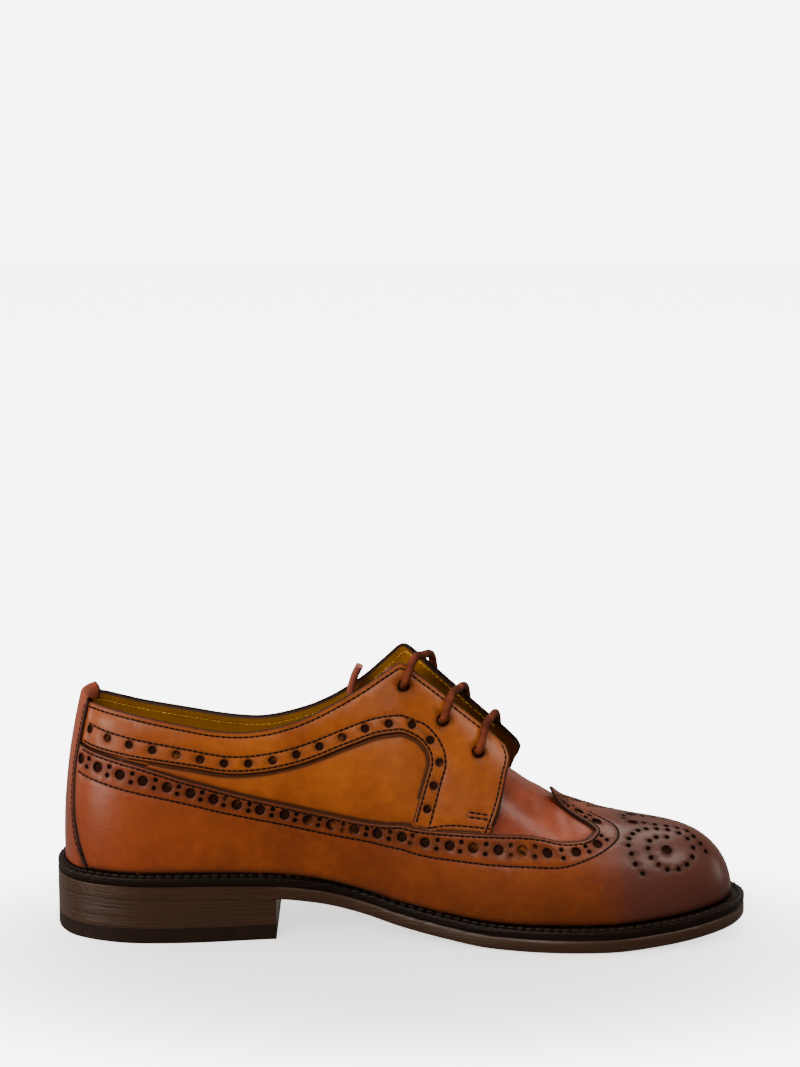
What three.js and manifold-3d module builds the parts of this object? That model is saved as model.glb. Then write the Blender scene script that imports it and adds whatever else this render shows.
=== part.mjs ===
// A left derby shoe with a long wing cap, built round the surface of its last.
// Millimetres. X runs from heel to toe, Y from the inner side to the outer side, Z up from the floor.
import {
  Box3,
  BufferAttribute,
  BufferGeometry,
  CatmullRomCurve3,
  CylinderGeometry,
  ExtrudeGeometry,
  Group,
  Mesh,
  MeshStandardMaterial,
  Quaternion,
  Shape,
  Vector2,
  Vector3,
} from "three";
import { mergeVertices } from "three/addons/utils/BufferGeometryUtils.js";
import Module from "manifold-3d";

const wasm = await Module();
wasm.setup();

// Driving sizes
const upperLength = 260;
const ballWidth = 82;
const instepHeight = 87;
const heelHeight = 26.2;
const toeSpring = 5.6;
const heelLength = 83;
const clearance = 0.3;

// Leather and rubber thicknesses
const soleThickness = 5.2;
const weltThickness = 3.4;
const topPieceThickness = 6;
const quarterPly = 1.2;
const quarterWall = 2.4;
const vampWall = 1.8;
const overlayPly = 1;
const tongueWall = 1.8;
const insoleRise = 1.5;

// Where the faces of the layers lie, measured out from the drawn surface of the shoe
const quarterOuter = -0.7;
const quarterInner = quarterOuter - quarterWall;
const vampOuter = quarterOuter - quarterPly;
const vampInner = vampOuter - vampWall;

// Widths and reaches
const weltWidth = 4.5;
const weltSeat = 4.2;
const facingLift = 15.5;
const heelLean = 26;
const toeLean = 30;
const eyeletDiameter = 5.2;
const laceDiameter = 3.2;
const laceClearance = 0.85;
const liftCount = 3;

// Roundness of the ribs: 2 is an ellipse, more is squarer
const ribPower = 2.15;

// Where up a rib its belly is fullest: less than 1 is nearer the welt
const bellyPower = 0.6;

// How late up the rib the quarters leave the vamp's surface to stand over the tongue
const liftPower = 4;

// Feather line, where upper meets welt, in shares of the upper's length and of the ball's width
const feather = [
  { at: 0, medial: 0, lateral: 0 },
  { at: 0.023, medial: 0.22, lateral: 0.22 },
  { at: 0.09, medial: 0.335, lateral: 0.33 },
  { at: 0.179, medial: 0.348, lateral: 0.348 },
  { at: 0.313, medial: 0.299, lateral: 0.372 },
  { at: 0.429, medial: 0.274, lateral: 0.433 },
  { at: 0.544, medial: 0.342, lateral: 0.492 },
  { at: 0.64, medial: 0.436, lateral: 0.512 },
  { at: 0.737, medial: 0.49, lateral: 0.485 },
  { at: 0.84, medial: 0.468, lateral: 0.395 },
  { at: 0.933, medial: 0.37, lateral: 0.24 },
  { at: 0.985, medial: 0.252, lateral: 0.05 },
  { at: 1, medial: 0.134, lateral: -0.134 },
];
const toeRow = feather.length - 1;

// Height of the welt's top: heel falls away from the heel height, toe rises by the toe spring
const seatRows = [
  { at: -0.02, heel: 1, toe: 0 },
  { at: 0.18, heel: 0.994, toe: 0 },
  { at: 0.317, heel: 0.908, toe: 0 },
  { at: 0.379, heel: 0.775, toe: 0 },
  { at: 0.448, heel: 0.52, toe: 0 },
  { at: 0.502, heel: 0.289, toe: 0 },
  { at: 0.571, heel: 0.104, toe: 0 },
  { at: 0.64, heel: 0.012, toe: 0 },
  { at: 0.7, heel: 0, toe: 0 },
  { at: 0.8, heel: 0, toe: 0 },
  { at: 0.883, heel: 0, toe: 0.22 },
  { at: 0.952, heel: 0, toe: 0.53 },
  { at: 1.02, heel: 0, toe: 1 },
];

// Crest of the last: rise above the seat, sideways swing, and how far the facings stand above the tongue
const crestRows = [
  { at: 0.1, rise: 0.962, swing: 0, lift: 1.1 },
  { at: 0.22, rise: 0.962, swing: 0, lift: 1.1 },
  { at: 0.33, rise: 0.982, swing: 0, lift: 1 },
  { at: 0.43, rise: 1.012, swing: 0, lift: 0.95 },
  { at: 0.498, rise: 1.02, swing: -0.003, lift: 0.97 },
  { at: 0.529, rise: 0.947, swing: -0.01, lift: 0.98 },
  { at: 0.602, rise: 0.76, swing: -0.026, lift: 1.02 },
  { at: 0.667, rise: 0.612, swing: -0.041, lift: 0.97 },
  { at: 0.708, rise: 0.536, swing: -0.053, lift: 0.9 },
  { at: 0.738, rise: 0.488, swing: -0.06, lift: 0.9 },
  { at: 0.789, rise: 0.43, swing: -0.075, lift: 0.9 },
  { at: 0.829, rise: 0.402, swing: -0.087, lift: 0.9 },
  { at: 0.885, rise: 0.369, swing: -0.104, lift: 0.9 },
];

// How far the ribs belly out, in shares of the ball width
const bellyRows = [
  { at: 0, medial: 0.004, lateral: 0.004 },
  { at: 0.06, medial: 0.022, lateral: 0.022 },
  { at: 0.22, medial: 0.024, lateral: 0.018 },
  { at: 0.33, medial: 0.043, lateral: 0.014 },
  { at: 0.43, medial: 0.055, lateral: 0.012 },
  { at: 0.544, medial: 0.049, lateral: 0.015 },
  { at: 0.64, medial: 0.03, lateral: 0.018 },
  { at: 0.737, medial: 0.024, lateral: 0.024 },
  { at: 0.933, medial: 0.012, lateral: 0.012 },
  { at: 1, medial: 0, lateral: 0 },
];

// How far the welt reaches past the upper, in shares of its width
const reachRows = [
  { at: 0, medial: 0.8, lateral: 0.8 },
  { at: 0.18, medial: 0.68, lateral: 0.68 },
  { at: 0.33, medial: 0.5, lateral: 0.6 },
  { at: 0.43, medial: 0.3, lateral: 0.6 },
  { at: 0.544, medial: 0.6, lateral: 0.7 },
  { at: 0.66, medial: 0.9, lateral: 0.85 },
  { at: 1, medial: 1, lateral: 1 },
];

// Quarter's top edge, from the back seam along the collar and down the facing: row is a place on the
// feather table, up is a share of the rib from the feather line to the crest
const toplineRows = [
  { row: 0, medial: 0.499, lateral: 0.499 },
  { row: 0.8, medial: 0.501, lateral: 0.491 },
  { row: 1.27, medial: 0.499, lateral: 0.475 },
  { row: 2.15, medial: 0.477, lateral: 0.432 },
  { row: 2.96, medial: 0.447, lateral: 0.403 },
  { row: 3.48, medial: 0.424, lateral: 0.38 },
  { row: 3.85, medial: 0.427, lateral: 0.376 },
  { row: 4.26, medial: 0.456, lateral: 0.402 },
  { row: 4.7, medial: 0.516, lateral: 0.458 },
  { row: 5.13, medial: 0.604, lateral: 0.556 },
  { row: 5.42, medial: 0.683, lateral: 0.66 },
  { row: 5.62, medial: 0.74, lateral: 0.75 },
  { row: 5.84, medial: 0.772, lateral: 0.832 },
  { row: 6.3, medial: 0.805, lateral: 0.872 },
  { row: 6.91, medial: 0.832, lateral: 0.885 },
  { row: 7.6, medial: 0.8, lateral: 0.84 },
];

// Quarter's front edge, from the welt up to the rounded corner of the facing
const quarterFrontRows = [
  { up: 0, row: 6.6 },
  { up: 0.3, row: 6.85 },
  { up: 0.48, row: 7.07 },
  { up: 0.657, row: 7.2 },
  { up: 0.76, row: 7.26 },
  { up: 0.86, row: 7.2 },
  { up: 0.94, row: 7.08 },
  { up: 1, row: 6.92 },
];

// Wing cap's top edge along the sides
const wingRows = [
  { row: 0.8, up: 0.362 },
  { row: 1.58, up: 0.35 },
  { row: 2.36, up: 0.326 },
  { row: 3.01, up: 0.291 },
  { row: 3.82, up: 0.237 },
  { row: 4.28, up: 0.219 },
  { row: 4.78, up: 0.212 },
  { row: 5.27, up: 0.221 },
  { row: 5.77, up: 0.255 },
  { row: 6.33, up: 0.326 },
  { row: 6.95, up: 0.405 },
  { row: 7.3, up: 0.445 },
  { row: 7.6, up: 0.483 },
];

// Window in the wing cap that the vamp shows through, from one side up to the wing's peak on the crest
const windowRows = [
  { row: 7.58, up: 0.48 },
  { row: 7.82, up: 0.507 },
  { row: 8.09, up: 0.535 },
  { row: 8.39, up: 0.593 },
  { row: 8.54, up: 0.675 },
  { row: 8.57, up: 0.723 },
  { row: 8.47, up: 0.77 },
  { row: 8.32, up: 0.807 },
  { row: 8.1, up: 0.873 },
  { row: 7.96, up: 0.93 },
  { row: 7.9, up: 1 },
];

// Back strip's edge: row on the feather table for each share of the rib
const stripRows = [
  { up: 0, row: 1.3 },
  { up: 0.075, row: 1.1 },
  { up: 0.152, row: 0.94 },
  { up: 0.285, row: 0.84 },
  { up: 0.37, row: 0.88 },
  { up: 0.482, row: 0.93 },
];

// Eyelets up the facings
const eyeletRows = [
  { medial: 6.76, lateral: 7.1, up: 0.66 },
  { medial: 6.21, lateral: 6.62, up: 0.665 },
  { medial: 5.67, lateral: 6.1, up: 0.656 },
];

// Smooth monotone curve through one column of a table
function curveOf(rows, key, value) {
  const xs = rows.map((r) => r[key]);
  const ys = rows.map((r) => r[value]);
  const last = xs.length - 1;
  const secant = xs.slice(1).map((x, i) => (ys[i + 1] - ys[i]) / (x - xs[i]));
  const slope = xs.map((x, i) => {
    if (i === 0) return secant[0];
    if (i === last) return secant[last - 1];
    const [a, b] = [secant[i - 1], secant[i]];
    return a * b <= 0 ? 0 : (2 * a * b) / (a + b);
  });
  return (at) => {
    const x = Math.min(Math.max(at, xs[0]), xs[last]);
    let i = 0;
    while (i < last - 1 && x >= xs[i + 1]) i += 1;
    const h = xs[i + 1] - xs[i];
    const w = (x - xs[i]) / h;
    return (
      ys[i] * (1 + 2 * w) * (1 - w) ** 2 +
      slope[i] * h * w * (1 - w) ** 2 +
      ys[i + 1] * w * w * (3 - 2 * w) +
      slope[i + 1] * h * w * w * (w - 1)
    );
  };
}

const sides = (rows, key) => ({
  medial: curveOf(rows, key, "medial"),
  lateral: curveOf(rows, key, "lateral"),
});
const side = (turn) => (turn <= 0 ? "medial" : "lateral");
const share = (x) => x / upperLength;

const heelShare = curveOf(seatRows, "at", "heel");
const toeShare = curveOf(seatRows, "at", "toe");
const ballHeight = soleThickness + clearance + weltThickness;
const seat = (x) =>
  ballHeight + (heelHeight - ballHeight) * heelShare(share(x)) + toeSpring * toeShare(share(x));

const crestRise = curveOf(crestRows, "at", "rise");
const crestSwing = curveOf(crestRows, "at", "swing");
const crestLift = curveOf(crestRows, "at", "lift");
const belly = sides(bellyRows, "at");
const reach = sides(reachRows, "at");
const topline = sides(toplineRows, "row");
const quarterFront = curveOf(quarterFrontRows, "up", "row");
const wingTop = curveOf(wingRows, "row", "up");
const stripEdge = curveOf(stripRows, "up", "row");

// Feather line as one closed curve: turn 0 is the heel, up to +-toeRow at the toe, negative on the inner side
const featherLoop = new CatmullRomCurve3(
  [
    ...feather.map((r) => new Vector3(r.at * upperLength, -r.medial * ballWidth, 0)),
    ...feather
      .slice(1, -1)
      .reverse()
      .map((r) => new Vector3(r.at * upperLength, r.lateral * ballWidth, 0)),
  ],
  true,
  "centripetal",
);

function plan(turn) {
  const along = turn <= 0 ? -turn : 2 * toeRow - turn;
  return featherLoop.getPoint((along / (2 * toeRow)) % 1);
}

// Point of the feather line pushed outwards in plan
function planOut(turn, out) {
  const probe = 0.02;
  const run = plan(turn + probe).sub(plan(turn - probe)).normalize();
  return plan(turn).add(new Vector3(-run.y, run.x, 0).multiplyScalar(out));
}

// Crest point that belongs to a place on the feather table
function crest(turn, out) {
  const row = Math.abs(turn);
  const x = (plan(-row).x + plan(row).x) / 2;
  const heelEnd = 0.256 * upperLength;
  const toeStart = 0.717 * upperLength;
  let lean = 0;
  if (x < heelEnd) lean = heelLean * (1 - x / heelEnd) ** 2;
  if (x > toeStart) lean = -toeLean * ((x - toeStart) / (upperLength - toeStart)) ** 2;
  const height = (at) => seat(at) + crestRise(share(at)) * instepHeight;
  const at = x + lean;
  const fall = (height(at + 1) - height(at - 1)) / 2;
  const stretch = Math.hypot(1, fall);
  return {
    row: x,
    point: new Vector3(
      at - (fall / stretch) * out,
      crestSwing(share(at)) * ballWidth,
      height(at) + out / stretch,
    ),
    lift: facingLift * crestLift(share(at)),
  };
}

// Surface of the upper: turn round the foot, up from feather line 0 to crest 1, out along the thickness.
// Lifted 1 is the surface that the quarters follow over the tongue, lifted 0 the one of vamp and tongue.
function skin(turn, up, out, lifted) {
  const foot = planOut(turn, out);
  const top = crest(turn, out);
  const angle = (up * Math.PI) / 2;
  const inward = 1 - Math.cos(angle) ** (2 / ribPower);
  const rise = Math.sin(angle) ** (2 / ribPower);
  const across = new Vector3(top.point.x - foot.x, top.point.y - foot.y, 0);
  const bellied = belly[side(turn)](share(top.row)) * ballWidth * Math.sin(Math.PI * rise ** bellyPower);
  const base = seat(foot.x) + clearance;
  const lift = lifted * top.lift * rise ** liftPower;
  return new Vector3(foot.x, foot.y, base + (top.point.z - base) * rise + lift)
    .addScaledVector(across, inward)
    .addScaledVector(across.clone().normalize(), -bellied);
}

// Outward direction of the surface
function skinNormal(turn, up, lifted) {
  const step = 0.02;
  const alongTurn = skin(turn + step, up, 0, lifted).sub(skin(turn - step, up, 0, lifted));
  const alongUp = skin(turn, up + step, 0, lifted).sub(skin(turn, up - step, 0, lifted));
  return alongUp.cross(alongTurn).normalize();
}

// Places round the foot, closer together where heel and toe bend
function turns(from, to) {
  const heelBend = 2;
  const toeBend = 9.5;
  const wide = 0.5;
  const narrow = 0.25;
  const nearest = 0.1;
  const marks = [];
  for (let row = 0; row <= toeRow; row += row < heelBend || row >= toeBend ? narrow : wide) {
    marks.push(row);
  }
  const all = [...marks.slice(1).reverse().map((m) => -m), ...marks];
  const between = all.filter((m) => m > from + nearest && m < to - nearest);
  return [from, ...between, to];
}

// Closed mesh from a list of corner points, four to a face
function fromQuads(quads) {
  const places = [];
  for (const [a, b, c, d] of quads) {
    for (const [p, q, r] of [
      [a, b, c],
      [a, c, d],
    ]) {
      const tiny = 1e-3;
      if (p.distanceTo(q) < tiny || q.distanceTo(r) < tiny || r.distanceTo(p) < tiny) continue;
      places.push(...p.toArray(), ...q.toArray(), ...r.toArray());
    }
  }
  const geometry = new BufferGeometry();
  geometry.setAttribute("position", new BufferAttribute(new Float32Array(places), 3));
  return geometry;
}

// Shell between two offsets of a surface. Each strip is a run of turns; where a column's top
// reaches the crest it is left open, because the other side's column closes it.
function shell({ strips, rows, spot, low, high, outer, inner, lifted = () => 0 }) {
  const quads = [];
  for (const strip of strips) {
    const column = (turn) =>
      [outer, inner].map((offset) =>
        Array.from({ length: rows + 1 }, (_, k) => {
          const up = low(turn) + ((high(turn) - low(turn)) * k) / rows;
          const place = spot ? spot(turn, up) : turn;
          const out = typeof offset === "function" ? offset(place) : offset;
          return skin(place, up, out, lifted(place));
        }),
      );
    const columns = strip.map(column);
    for (let i = 0; i + 1 < columns.length; i += 1) {
      const [[outA, inA], [outB, inB]] = [columns[i], columns[i + 1]];
      for (let k = 0; k < rows; k += 1) {
        quads.push([outA[k], outA[k + 1], outB[k + 1], outB[k]]);
        quads.push([inA[k], inB[k], inB[k + 1], inA[k + 1]]);
      }
      quads.push([outA[0], outB[0], inB[0], inA[0]]);
      const zipped = high(strip[i]) === 1 && high(strip[i + 1]) === 1;
      if (!zipped) quads.push([outB[rows], outA[rows], inA[rows], inB[rows]]);
    }
    const joined = Math.abs(strip[0]) === toeRow;
    const [outA, inA] = columns[0];
    const [outB, inB] = columns[columns.length - 1];
    for (let k = 0; k < rows && !joined; k += 1) {
      quads.push([outA[k + 1], outA[k], inA[k], inA[k + 1]]);
      quads.push([outB[k], outB[k + 1], inB[k + 1], inB[k]]);
    }
  }
  return fromQuads(quads);
}

// Strips that run round the toe: outer side from a row to the toe, then back along the inner side
const roundToe = (row) => [[...turns(row, toeRow), ...turns(-toeRow, -row).slice(1)]];
const roundHeel = (row) => [turns(-row, row)];

// Solid made of rings round the foot. A profile row is how far out of the feather line it lies and how
// high over the welt's top; a row without a reach lies on the centre line and closes the solid.
function ringed(profile, closed = false) {
  const around = [...turns(-toeRow, 0), ...turns(0, toeRow).slice(1)];
  const rings = profile.map(({ out, height }) =>
    around.map((turn) => {
      const p = out ? planOut(turn, out(turn)) : crest(turn, 0).point;
      return p.setZ(seat(p.x) + height);
    }),
  );
  if (closed) rings.push(rings[0]);
  const quads = [];
  for (let k = 0; k + 1 < rings.length; k += 1) {
    for (let i = 0; i + 1 < around.length; i += 1) {
      quads.push([rings[k][i], rings[k + 1][i], rings[k + 1][i + 1], rings[k][i + 1]]);
    }
  }
  return fromQuads(quads);
}

// Join and cut
function solid(geometry) {
  const bare = geometry.clone();
  bare.deleteAttribute("normal");
  bare.deleteAttribute("uv");
  const merged = mergeVertices(bare, 1e-3);
  return new wasm.Manifold(
    new wasm.Mesh({
      numProp: 3,
      vertProperties: new Float32Array(merged.attributes.position.array),
      triVerts: new Uint32Array(merged.index.array),
    }),
  );
}

function geometryOf(body) {
  const mesh = body.getMesh();
  const geometry = new BufferGeometry();
  geometry.setAttribute("position", new BufferAttribute(new Float32Array(mesh.vertProperties), 3));
  geometry.setIndex(new BufferAttribute(new Uint32Array(mesh.triVerts), 1));
  return geometry;
}

// Round bar along a list of points
function cordAlong(points, diameter, steps, facets = 8) {
  const ring = Array.from({ length: facets }, (_, i) => {
    const angle = (i * 2 * Math.PI) / facets;
    return new Vector2(Math.cos(angle), Math.sin(angle)).multiplyScalar(diameter / 2);
  });
  return new ExtrudeGeometry(new Shape(ring), {
    steps,
    extrudePath: new CatmullRomCurve3(points, false, "centripetal"),
  });
}

const weltReach = (turn) => {
  const row = Math.abs(turn);
  return weltWidth * reach[side(turn)](share((plan(-row).x + plan(row).x) / 2));
};

// Outsole: flat under the ball, rounded along its edge
const soleTop = -weltThickness - clearance;
const soleBottom = soleTop - soleThickness;

function outsole(drop = 0, top = soleTop) {
  const round = 0.14 * soleThickness;
  const flatFrom = 0.5 * weltWidth;
  const bottom = soleBottom - drop;
  return ringed([
    { height: bottom },
    { out: (t) => weltReach(t) - flatFrom, height: bottom },
    { out: (t) => weltReach(t) - round, height: bottom },
    { out: weltReach, height: bottom + 2 * round },
    { out: weltReach, height: top - round },
    { out: (t) => weltReach(t) - 0.5 * round, height: top },
    { height: top },
  ]);
}

// Welt: a ring under the upper's edge with rounded outer corners
function welt() {
  const round = 0.2 * weltThickness;
  return ringed(
    [
      { out: (t) => weltReach(t) - 0.5 * round, height: -weltThickness },
      { out: weltReach, height: round - weltThickness },
      { out: weltReach, height: -round },
      { out: (t) => weltReach(t) - 0.7 * round, height: 0 },
      { out: () => -weltSeat, height: 0 },
      { out: () => -weltSeat, height: -weltThickness },
    ],
    true,
  );
}

// Insole with its filling: lies on the outsole, inside the welt
function insole() {
  const edge = () => -weltSeat - clearance;
  const bottom = clearance - weltThickness;
  const round = 0.1 * weltThickness;
  return ringed([
    { height: bottom },
    { out: edge, height: bottom },
    { out: edge, height: insoleRise - round },
    { out: (t) => edge(t) - round, height: insoleRise },
    { height: insoleRise },
  ]);
}

// Heel: outline of the sole's edge behind the breast, in level layers
function heelLayer(bottom, top) {
  const around = turns(-toeRow, toeRow).map((turn) => planOut(turn, weltReach(turn)));
  const nearest = 1;
  const behind = around.filter((p) => p.x < heelLength - nearest);
  const breast = (sign) => {
    const near = around.filter((p) => Math.sign(p.y) === sign);
    const before = near.filter((p) => p.x < heelLength).sort((p, q) => q.x - p.x)[0];
    const after = near.filter((p) => p.x >= heelLength).sort((p, q) => p.x - q.x)[0];
    return before.clone().lerp(after, (heelLength - before.x) / (after.x - before.x));
  };
  const loop = [breast(-1), ...behind, breast(1)].map((p) => new Vector2(p.x, p.y));
  const geometry = new ExtrudeGeometry(new Shape(loop), { depth: top - bottom, bevelEnabled: false });
  return geometry.translate(0, 0, bottom);
}

const stackTop = heelHeight + soleBottom;
const liftThickness = (stackTop - topPieceThickness) / liftCount;

function heelLift(index) {
  const bottom = topPieceThickness + index * liftThickness;
  if (index < liftCount - 1) return heelLayer(bottom, bottom + liftThickness);
  const above = outsole(clearance, heelHeight);
  return geometryOf(solid(heelLayer(bottom, heelHeight)).subtract(solid(above)));
}

// Upper: quarters round the heel over the vamp round the toe, joined where they overlap
const frontStart = 5;
const frontRow = quarterFrontRows[4].row;
const lateralFront = 1.03;
const rowLength = upperLength / toeRow;

function quarterSpot(turn, up, fat = 0) {
  const row = Math.abs(turn);
  if (row <= frontStart) return turn;
  const edge = quarterFront(up) * (turn > 0 ? lateralFront : 1) + fat / rowLength;
  const stretch = (edge - frontStart) / (frontRow - frontStart);
  return Math.sign(turn) * (frontStart + (row - frontStart) * stretch);
}

const facingUp = 0.8;
const quarterTop = (turn) => topline[side(turn)](Math.abs(quarterSpot(turn, facingUp)));

function quarters(fat = 0) {
  return shell({
    strips: roundHeel(frontRow),
    rows: 8,
    spot: (turn, up) => quarterSpot(turn, up, fat),
    low: () => 0,
    high: quarterTop,
    outer: quarterOuter + fat,
    inner: quarterInner,
    lifted: () => 1,
  });
}

const vampBack = 6.2;
const throatRow = 6.95;

function vampSpot(turn, up) {
  const row = Math.abs(turn);
  const front = 8;
  if (row >= front) return turn;
  const back = vampBack + (throatRow - vampBack) * up ** 2;
  return Math.sign(turn) * (back + ((row - vampBack) * (front - back)) / (front - vampBack));
}

function vamp(fat = 0) {
  return shell({
    strips: roundToe(vampBack),
    rows: 8,
    spot: vampSpot,
    low: () => 0,
    high: () => 1,
    outer: vampOuter + fat,
    inner: vampInner,
  });
}

// Takes away from an overlay what lies within the clearance of the upper, and a hair for its facets
function clearOfUpper(overlay) {
  const fat = 1.2 * clearance;
  return solid(overlay).subtract(solid(quarters(fat))).subtract(solid(vamp(fat)));
}

// The sheet itself, without the loose slivers that a cut leaves
const wholeSheet = (cut) => cut.decompose().sort((a, b) => b.volume() - a.volume())[0];

function eyeletHole(turn, up) {
  const reachThrough = 4 * quarterWall;
  const hole = new CylinderGeometry(eyeletDiameter / 2, eyeletDiameter / 2, reachThrough, 12);
  const normal = skinNormal(turn, up, 1);
  hole.applyQuaternion(new Quaternion().setFromUnitVectors(new Vector3(0, 1, 0), normal));
  const centre = skin(turn, up, laceMiddle, 1);
  return hole.translate(centre.x, centre.y, centre.z);
}

function upper() {
  let body = solid(quarters()).add(solid(vamp()));
  for (const { medial, lateral, up } of eyeletRows) {
    body = body.subtract(solid(eyeletHole(-medial, up))).subtract(solid(eyeletHole(lateral, up)));
  }
  return geometryOf(body);
}

// Wing cap: a sheet round the toe and along both sides to the back strip, with the vamp's window cut out
const wingRow = wingRows[wingRows.length - 1].row;
const stripRow = stripRows[0].row;
const overlayGap = 0.03;

// How far the wing cap lies on the quarter: 1 behind the quarter's front edge, falling to 0 on the vamp
const fadeRows = 0.85;
const capUp = 0.45;
const fadeStart = quarterFront(capUp) * lateralFront;
const quarterShare = (turn) => {
  const fade = Math.min(Math.max((Math.abs(turn) - fadeStart) / fadeRows, 0), 1);
  return 1 - fade * fade * (3 - 2 * fade);
};
const overlayOuter = (turn) => vampOuter + clearance + overlayPly + quarterPly * quarterShare(turn);
const overlayDepth = 0.5 * quarterWall;
const overlayFoot = 0.012;

function wingSpot(turn, up) {
  const row = Math.abs(turn);
  const settled = 2.5;
  if (row >= settled) return turn;
  const back = stripEdge(up) + overlayGap;
  return Math.sign(turn) * (back + ((row - stripRow) * (settled - back)) / (settled - stripRow));
}

function windowCutter() {
  const edge = (sign) =>
    windowRows.map(({ row, up }) => skin(sign * row, up, overlayOuter(row), quarterShare(row)));
  const medial = edge(-1);
  const lateral = edge(1).reverse().slice(1);
  const loop = [...medial, ...lateral].map((p) => new Vector2(p.x, p.y));
  const tall = 2 * instepHeight;
  return new ExtrudeGeometry(new Shape(loop), { depth: tall, bevelEnabled: false });
}

function wingCap() {
  const windowGap = 0.15;
  const edgeUp = 0.3;
  const around = [...turns(stripRow, wingRow), ...turns(wingRow + windowGap, toeRow)];
  const sheet = shell({
    strips: [[...around, ...around.slice(0, -1).reverse().map((t) => -t)]],
    rows: 8,
    spot: wingSpot,
    low: () => overlayFoot,
    high: (turn) => (Math.abs(turn) > wingRow ? 1 : wingTop(Math.abs(wingSpot(turn, edgeUp)))),
    outer: overlayOuter,
    inner: (turn) => overlayOuter(turn) - overlayPly - overlayDepth,
    lifted: quarterShare,
  });
  return geometryOf(wholeSheet(clearOfUpper(sheet).subtract(solid(windowCutter()))));
}

// Back strip: over the back seam, from the welt to the collar
function backStrip() {
  const sheet = shell({
    strips: roundHeel(stripRow),
    rows: 7,
    spot: (turn, up) => (turn / stripRow) * stripEdge(up),
    low: () => overlayFoot,
    high: () => stripRows[stripRows.length - 1].up,
    outer: overlayOuter,
    inner: (turn) => overlayOuter(turn) - overlayPly - overlayDepth,
    lifted: () => 1,
  });
  return geometryOf(wholeSheet(clearOfUpper(sheet)));
}

// Tongue: under the vamp's throat and the facings
const tongueFront = 7.4;
const tongueTop = 5.5;
const tongueSide = 0.62;

function tongue() {
  const outer = vampInner - 2 * clearance;
  return shell({
    strips: [turns(-tongueFront, -tongueTop), turns(tongueTop, tongueFront)],
    rows: 4,
    low: () => tongueSide,
    high: () => 1,
    outer,
    inner: outer - tongueWall,
  });
}

// Lace: three bars over the facings, joined under them through the eyelets
const laceOut = quarterOuter + laceClearance + laceDiameter / 2;
const laceMiddle = (quarterOuter + quarterInner) / 2;
const laceIn = quarterInner - laceClearance - laceDiameter / 2;
const over = (turn, up, out) => skin(turn, up, 0, 1).addScaledVector(skinNormal(turn, up, 1), out);

function bar({ medial, lateral, up }) {
  const rowAt = (way) => medial + (lateral - medial) * way;
  const edgeAt = { medial: { way: 0.25, up: 0.8 }, lateral: { way: 0.75, up: 0.88 } };
  const rise = 0.2 * laceDiameter;
  const near = [
    over(-medial, up, laceOut),
    over(-rowAt(edgeAt.medial.way), edgeAt.medial.up, laceOut),
  ];
  const far = [
    over(rowAt(edgeAt.lateral.way), edgeAt.lateral.up, laceOut),
    over(lateral, up, laceOut),
  ];
  const crown = near[1].clone().lerp(far[0], 0.5).add(new Vector3(0, 0, rise));
  return [...near, crown, ...far];
}

const hole = (turn, up) => over(turn, up, laceMiddle);
const under = (turn, up) => over(turn, up, laceIn);

function lacePath() {
  const [low, mid, top] = eyeletRows;
  const sag = 0.01;
  const between = (a, b, sign) => under((sign * (a + b)) / 2, (low.up + top.up) / 2 - sag);
  return [
    under(-top.medial, top.up),
    hole(-top.medial, top.up),
    ...bar(top),
    hole(top.lateral, top.up),
    under(top.lateral, top.up),
    between(top.lateral, mid.lateral, 1),
    under(mid.lateral, mid.up),
    hole(mid.lateral, mid.up),
    ...bar(mid).reverse(),
    hole(-mid.medial, mid.up),
    under(-mid.medial, mid.up),
    between(mid.medial, low.medial, -1),
    under(-low.medial, low.up),
    hole(-low.medial, low.up),
    ...bar(low),
    hole(low.lateral, low.up),
    under(low.lateral, low.up),
  ];
}

// Loose lace end: from the lowest outer eyelet up inside the outer quarter to the collar
const laceEndRows = [
  { row: 6.9, up: 0.69 },
  { row: 6.7, up: 0.715 },
  { row: 6.4, up: 0.725 },
  { row: 6.1, up: 0.72 },
  { row: 5.8, up: 0.698 },
  { row: 5.53, up: 0.645 },
  { row: 5.36, up: 0.57 },
  { row: 5.24, up: 0.5 },
  { row: 5.1, up: 0.465 },
  { row: 4.98, up: 0.5 },
  { row: 5.02, up: 0.57 },
  { row: 5.1, up: 0.632 },
];

const laceEndPath = () => laceEndRows.map(({ row, up }) => over(row, up, laceIn - laceClearance));

// Materials
const leather = (color, roughness) => new MeshStandardMaterial({ color, roughness, metalness: 0 });
const tan = leather(0x9c5a22, 0.38);
const redTan = leather(0x8c4a2a, 0.34);
const darkEdge = leather(0x2c1d16, 0.45);
const rubber = new MeshStandardMaterial({ color: 0x1d1713, roughness: 0.7, metalness: 0 });
const waxed = new MeshStandardMaterial({ color: 0x4a2318, roughness: 0.6, metalness: 0 });
const lining = leather(0xa87a2e, 0.6);

const pieces = [
  ["heel_top_piece", heelLayer(0, topPieceThickness), rubber],
  ...Array.from({ length: liftCount }, (_, i) => [`heel_lift_${i + 1}`, heelLift(i), darkEdge]),
  ["outsole", outsole(), darkEdge],
  ["welt", welt(), darkEdge],
  ["insole", insole(), lining],
  ["upper", upper(), tan],
  ["wing_cap", wingCap(), redTan],
  ["back_strip", backStrip(), redTan],
  ["tongue", tongue(), tan],
  ["lace", cordAlong(lacePath(), laceDiameter, 80), waxed],
  ["lace_end", cordAlong(laceEndPath(), laceDiameter, 32), waxed],
];

const shoe = new Group();
for (const [name, geometry, material] of pieces) {
  const mesh = new Mesh(geometry, material);
  mesh.name = name;
  shoe.add(mesh);
}

// The origin lies under the middle of the shoe
const box = new Box3().setFromObject(shoe);
const middle = box.getCenter(new Vector3());
shoe.position.set(-middle.x, -middle.y, 0);

export default shoe;
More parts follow.
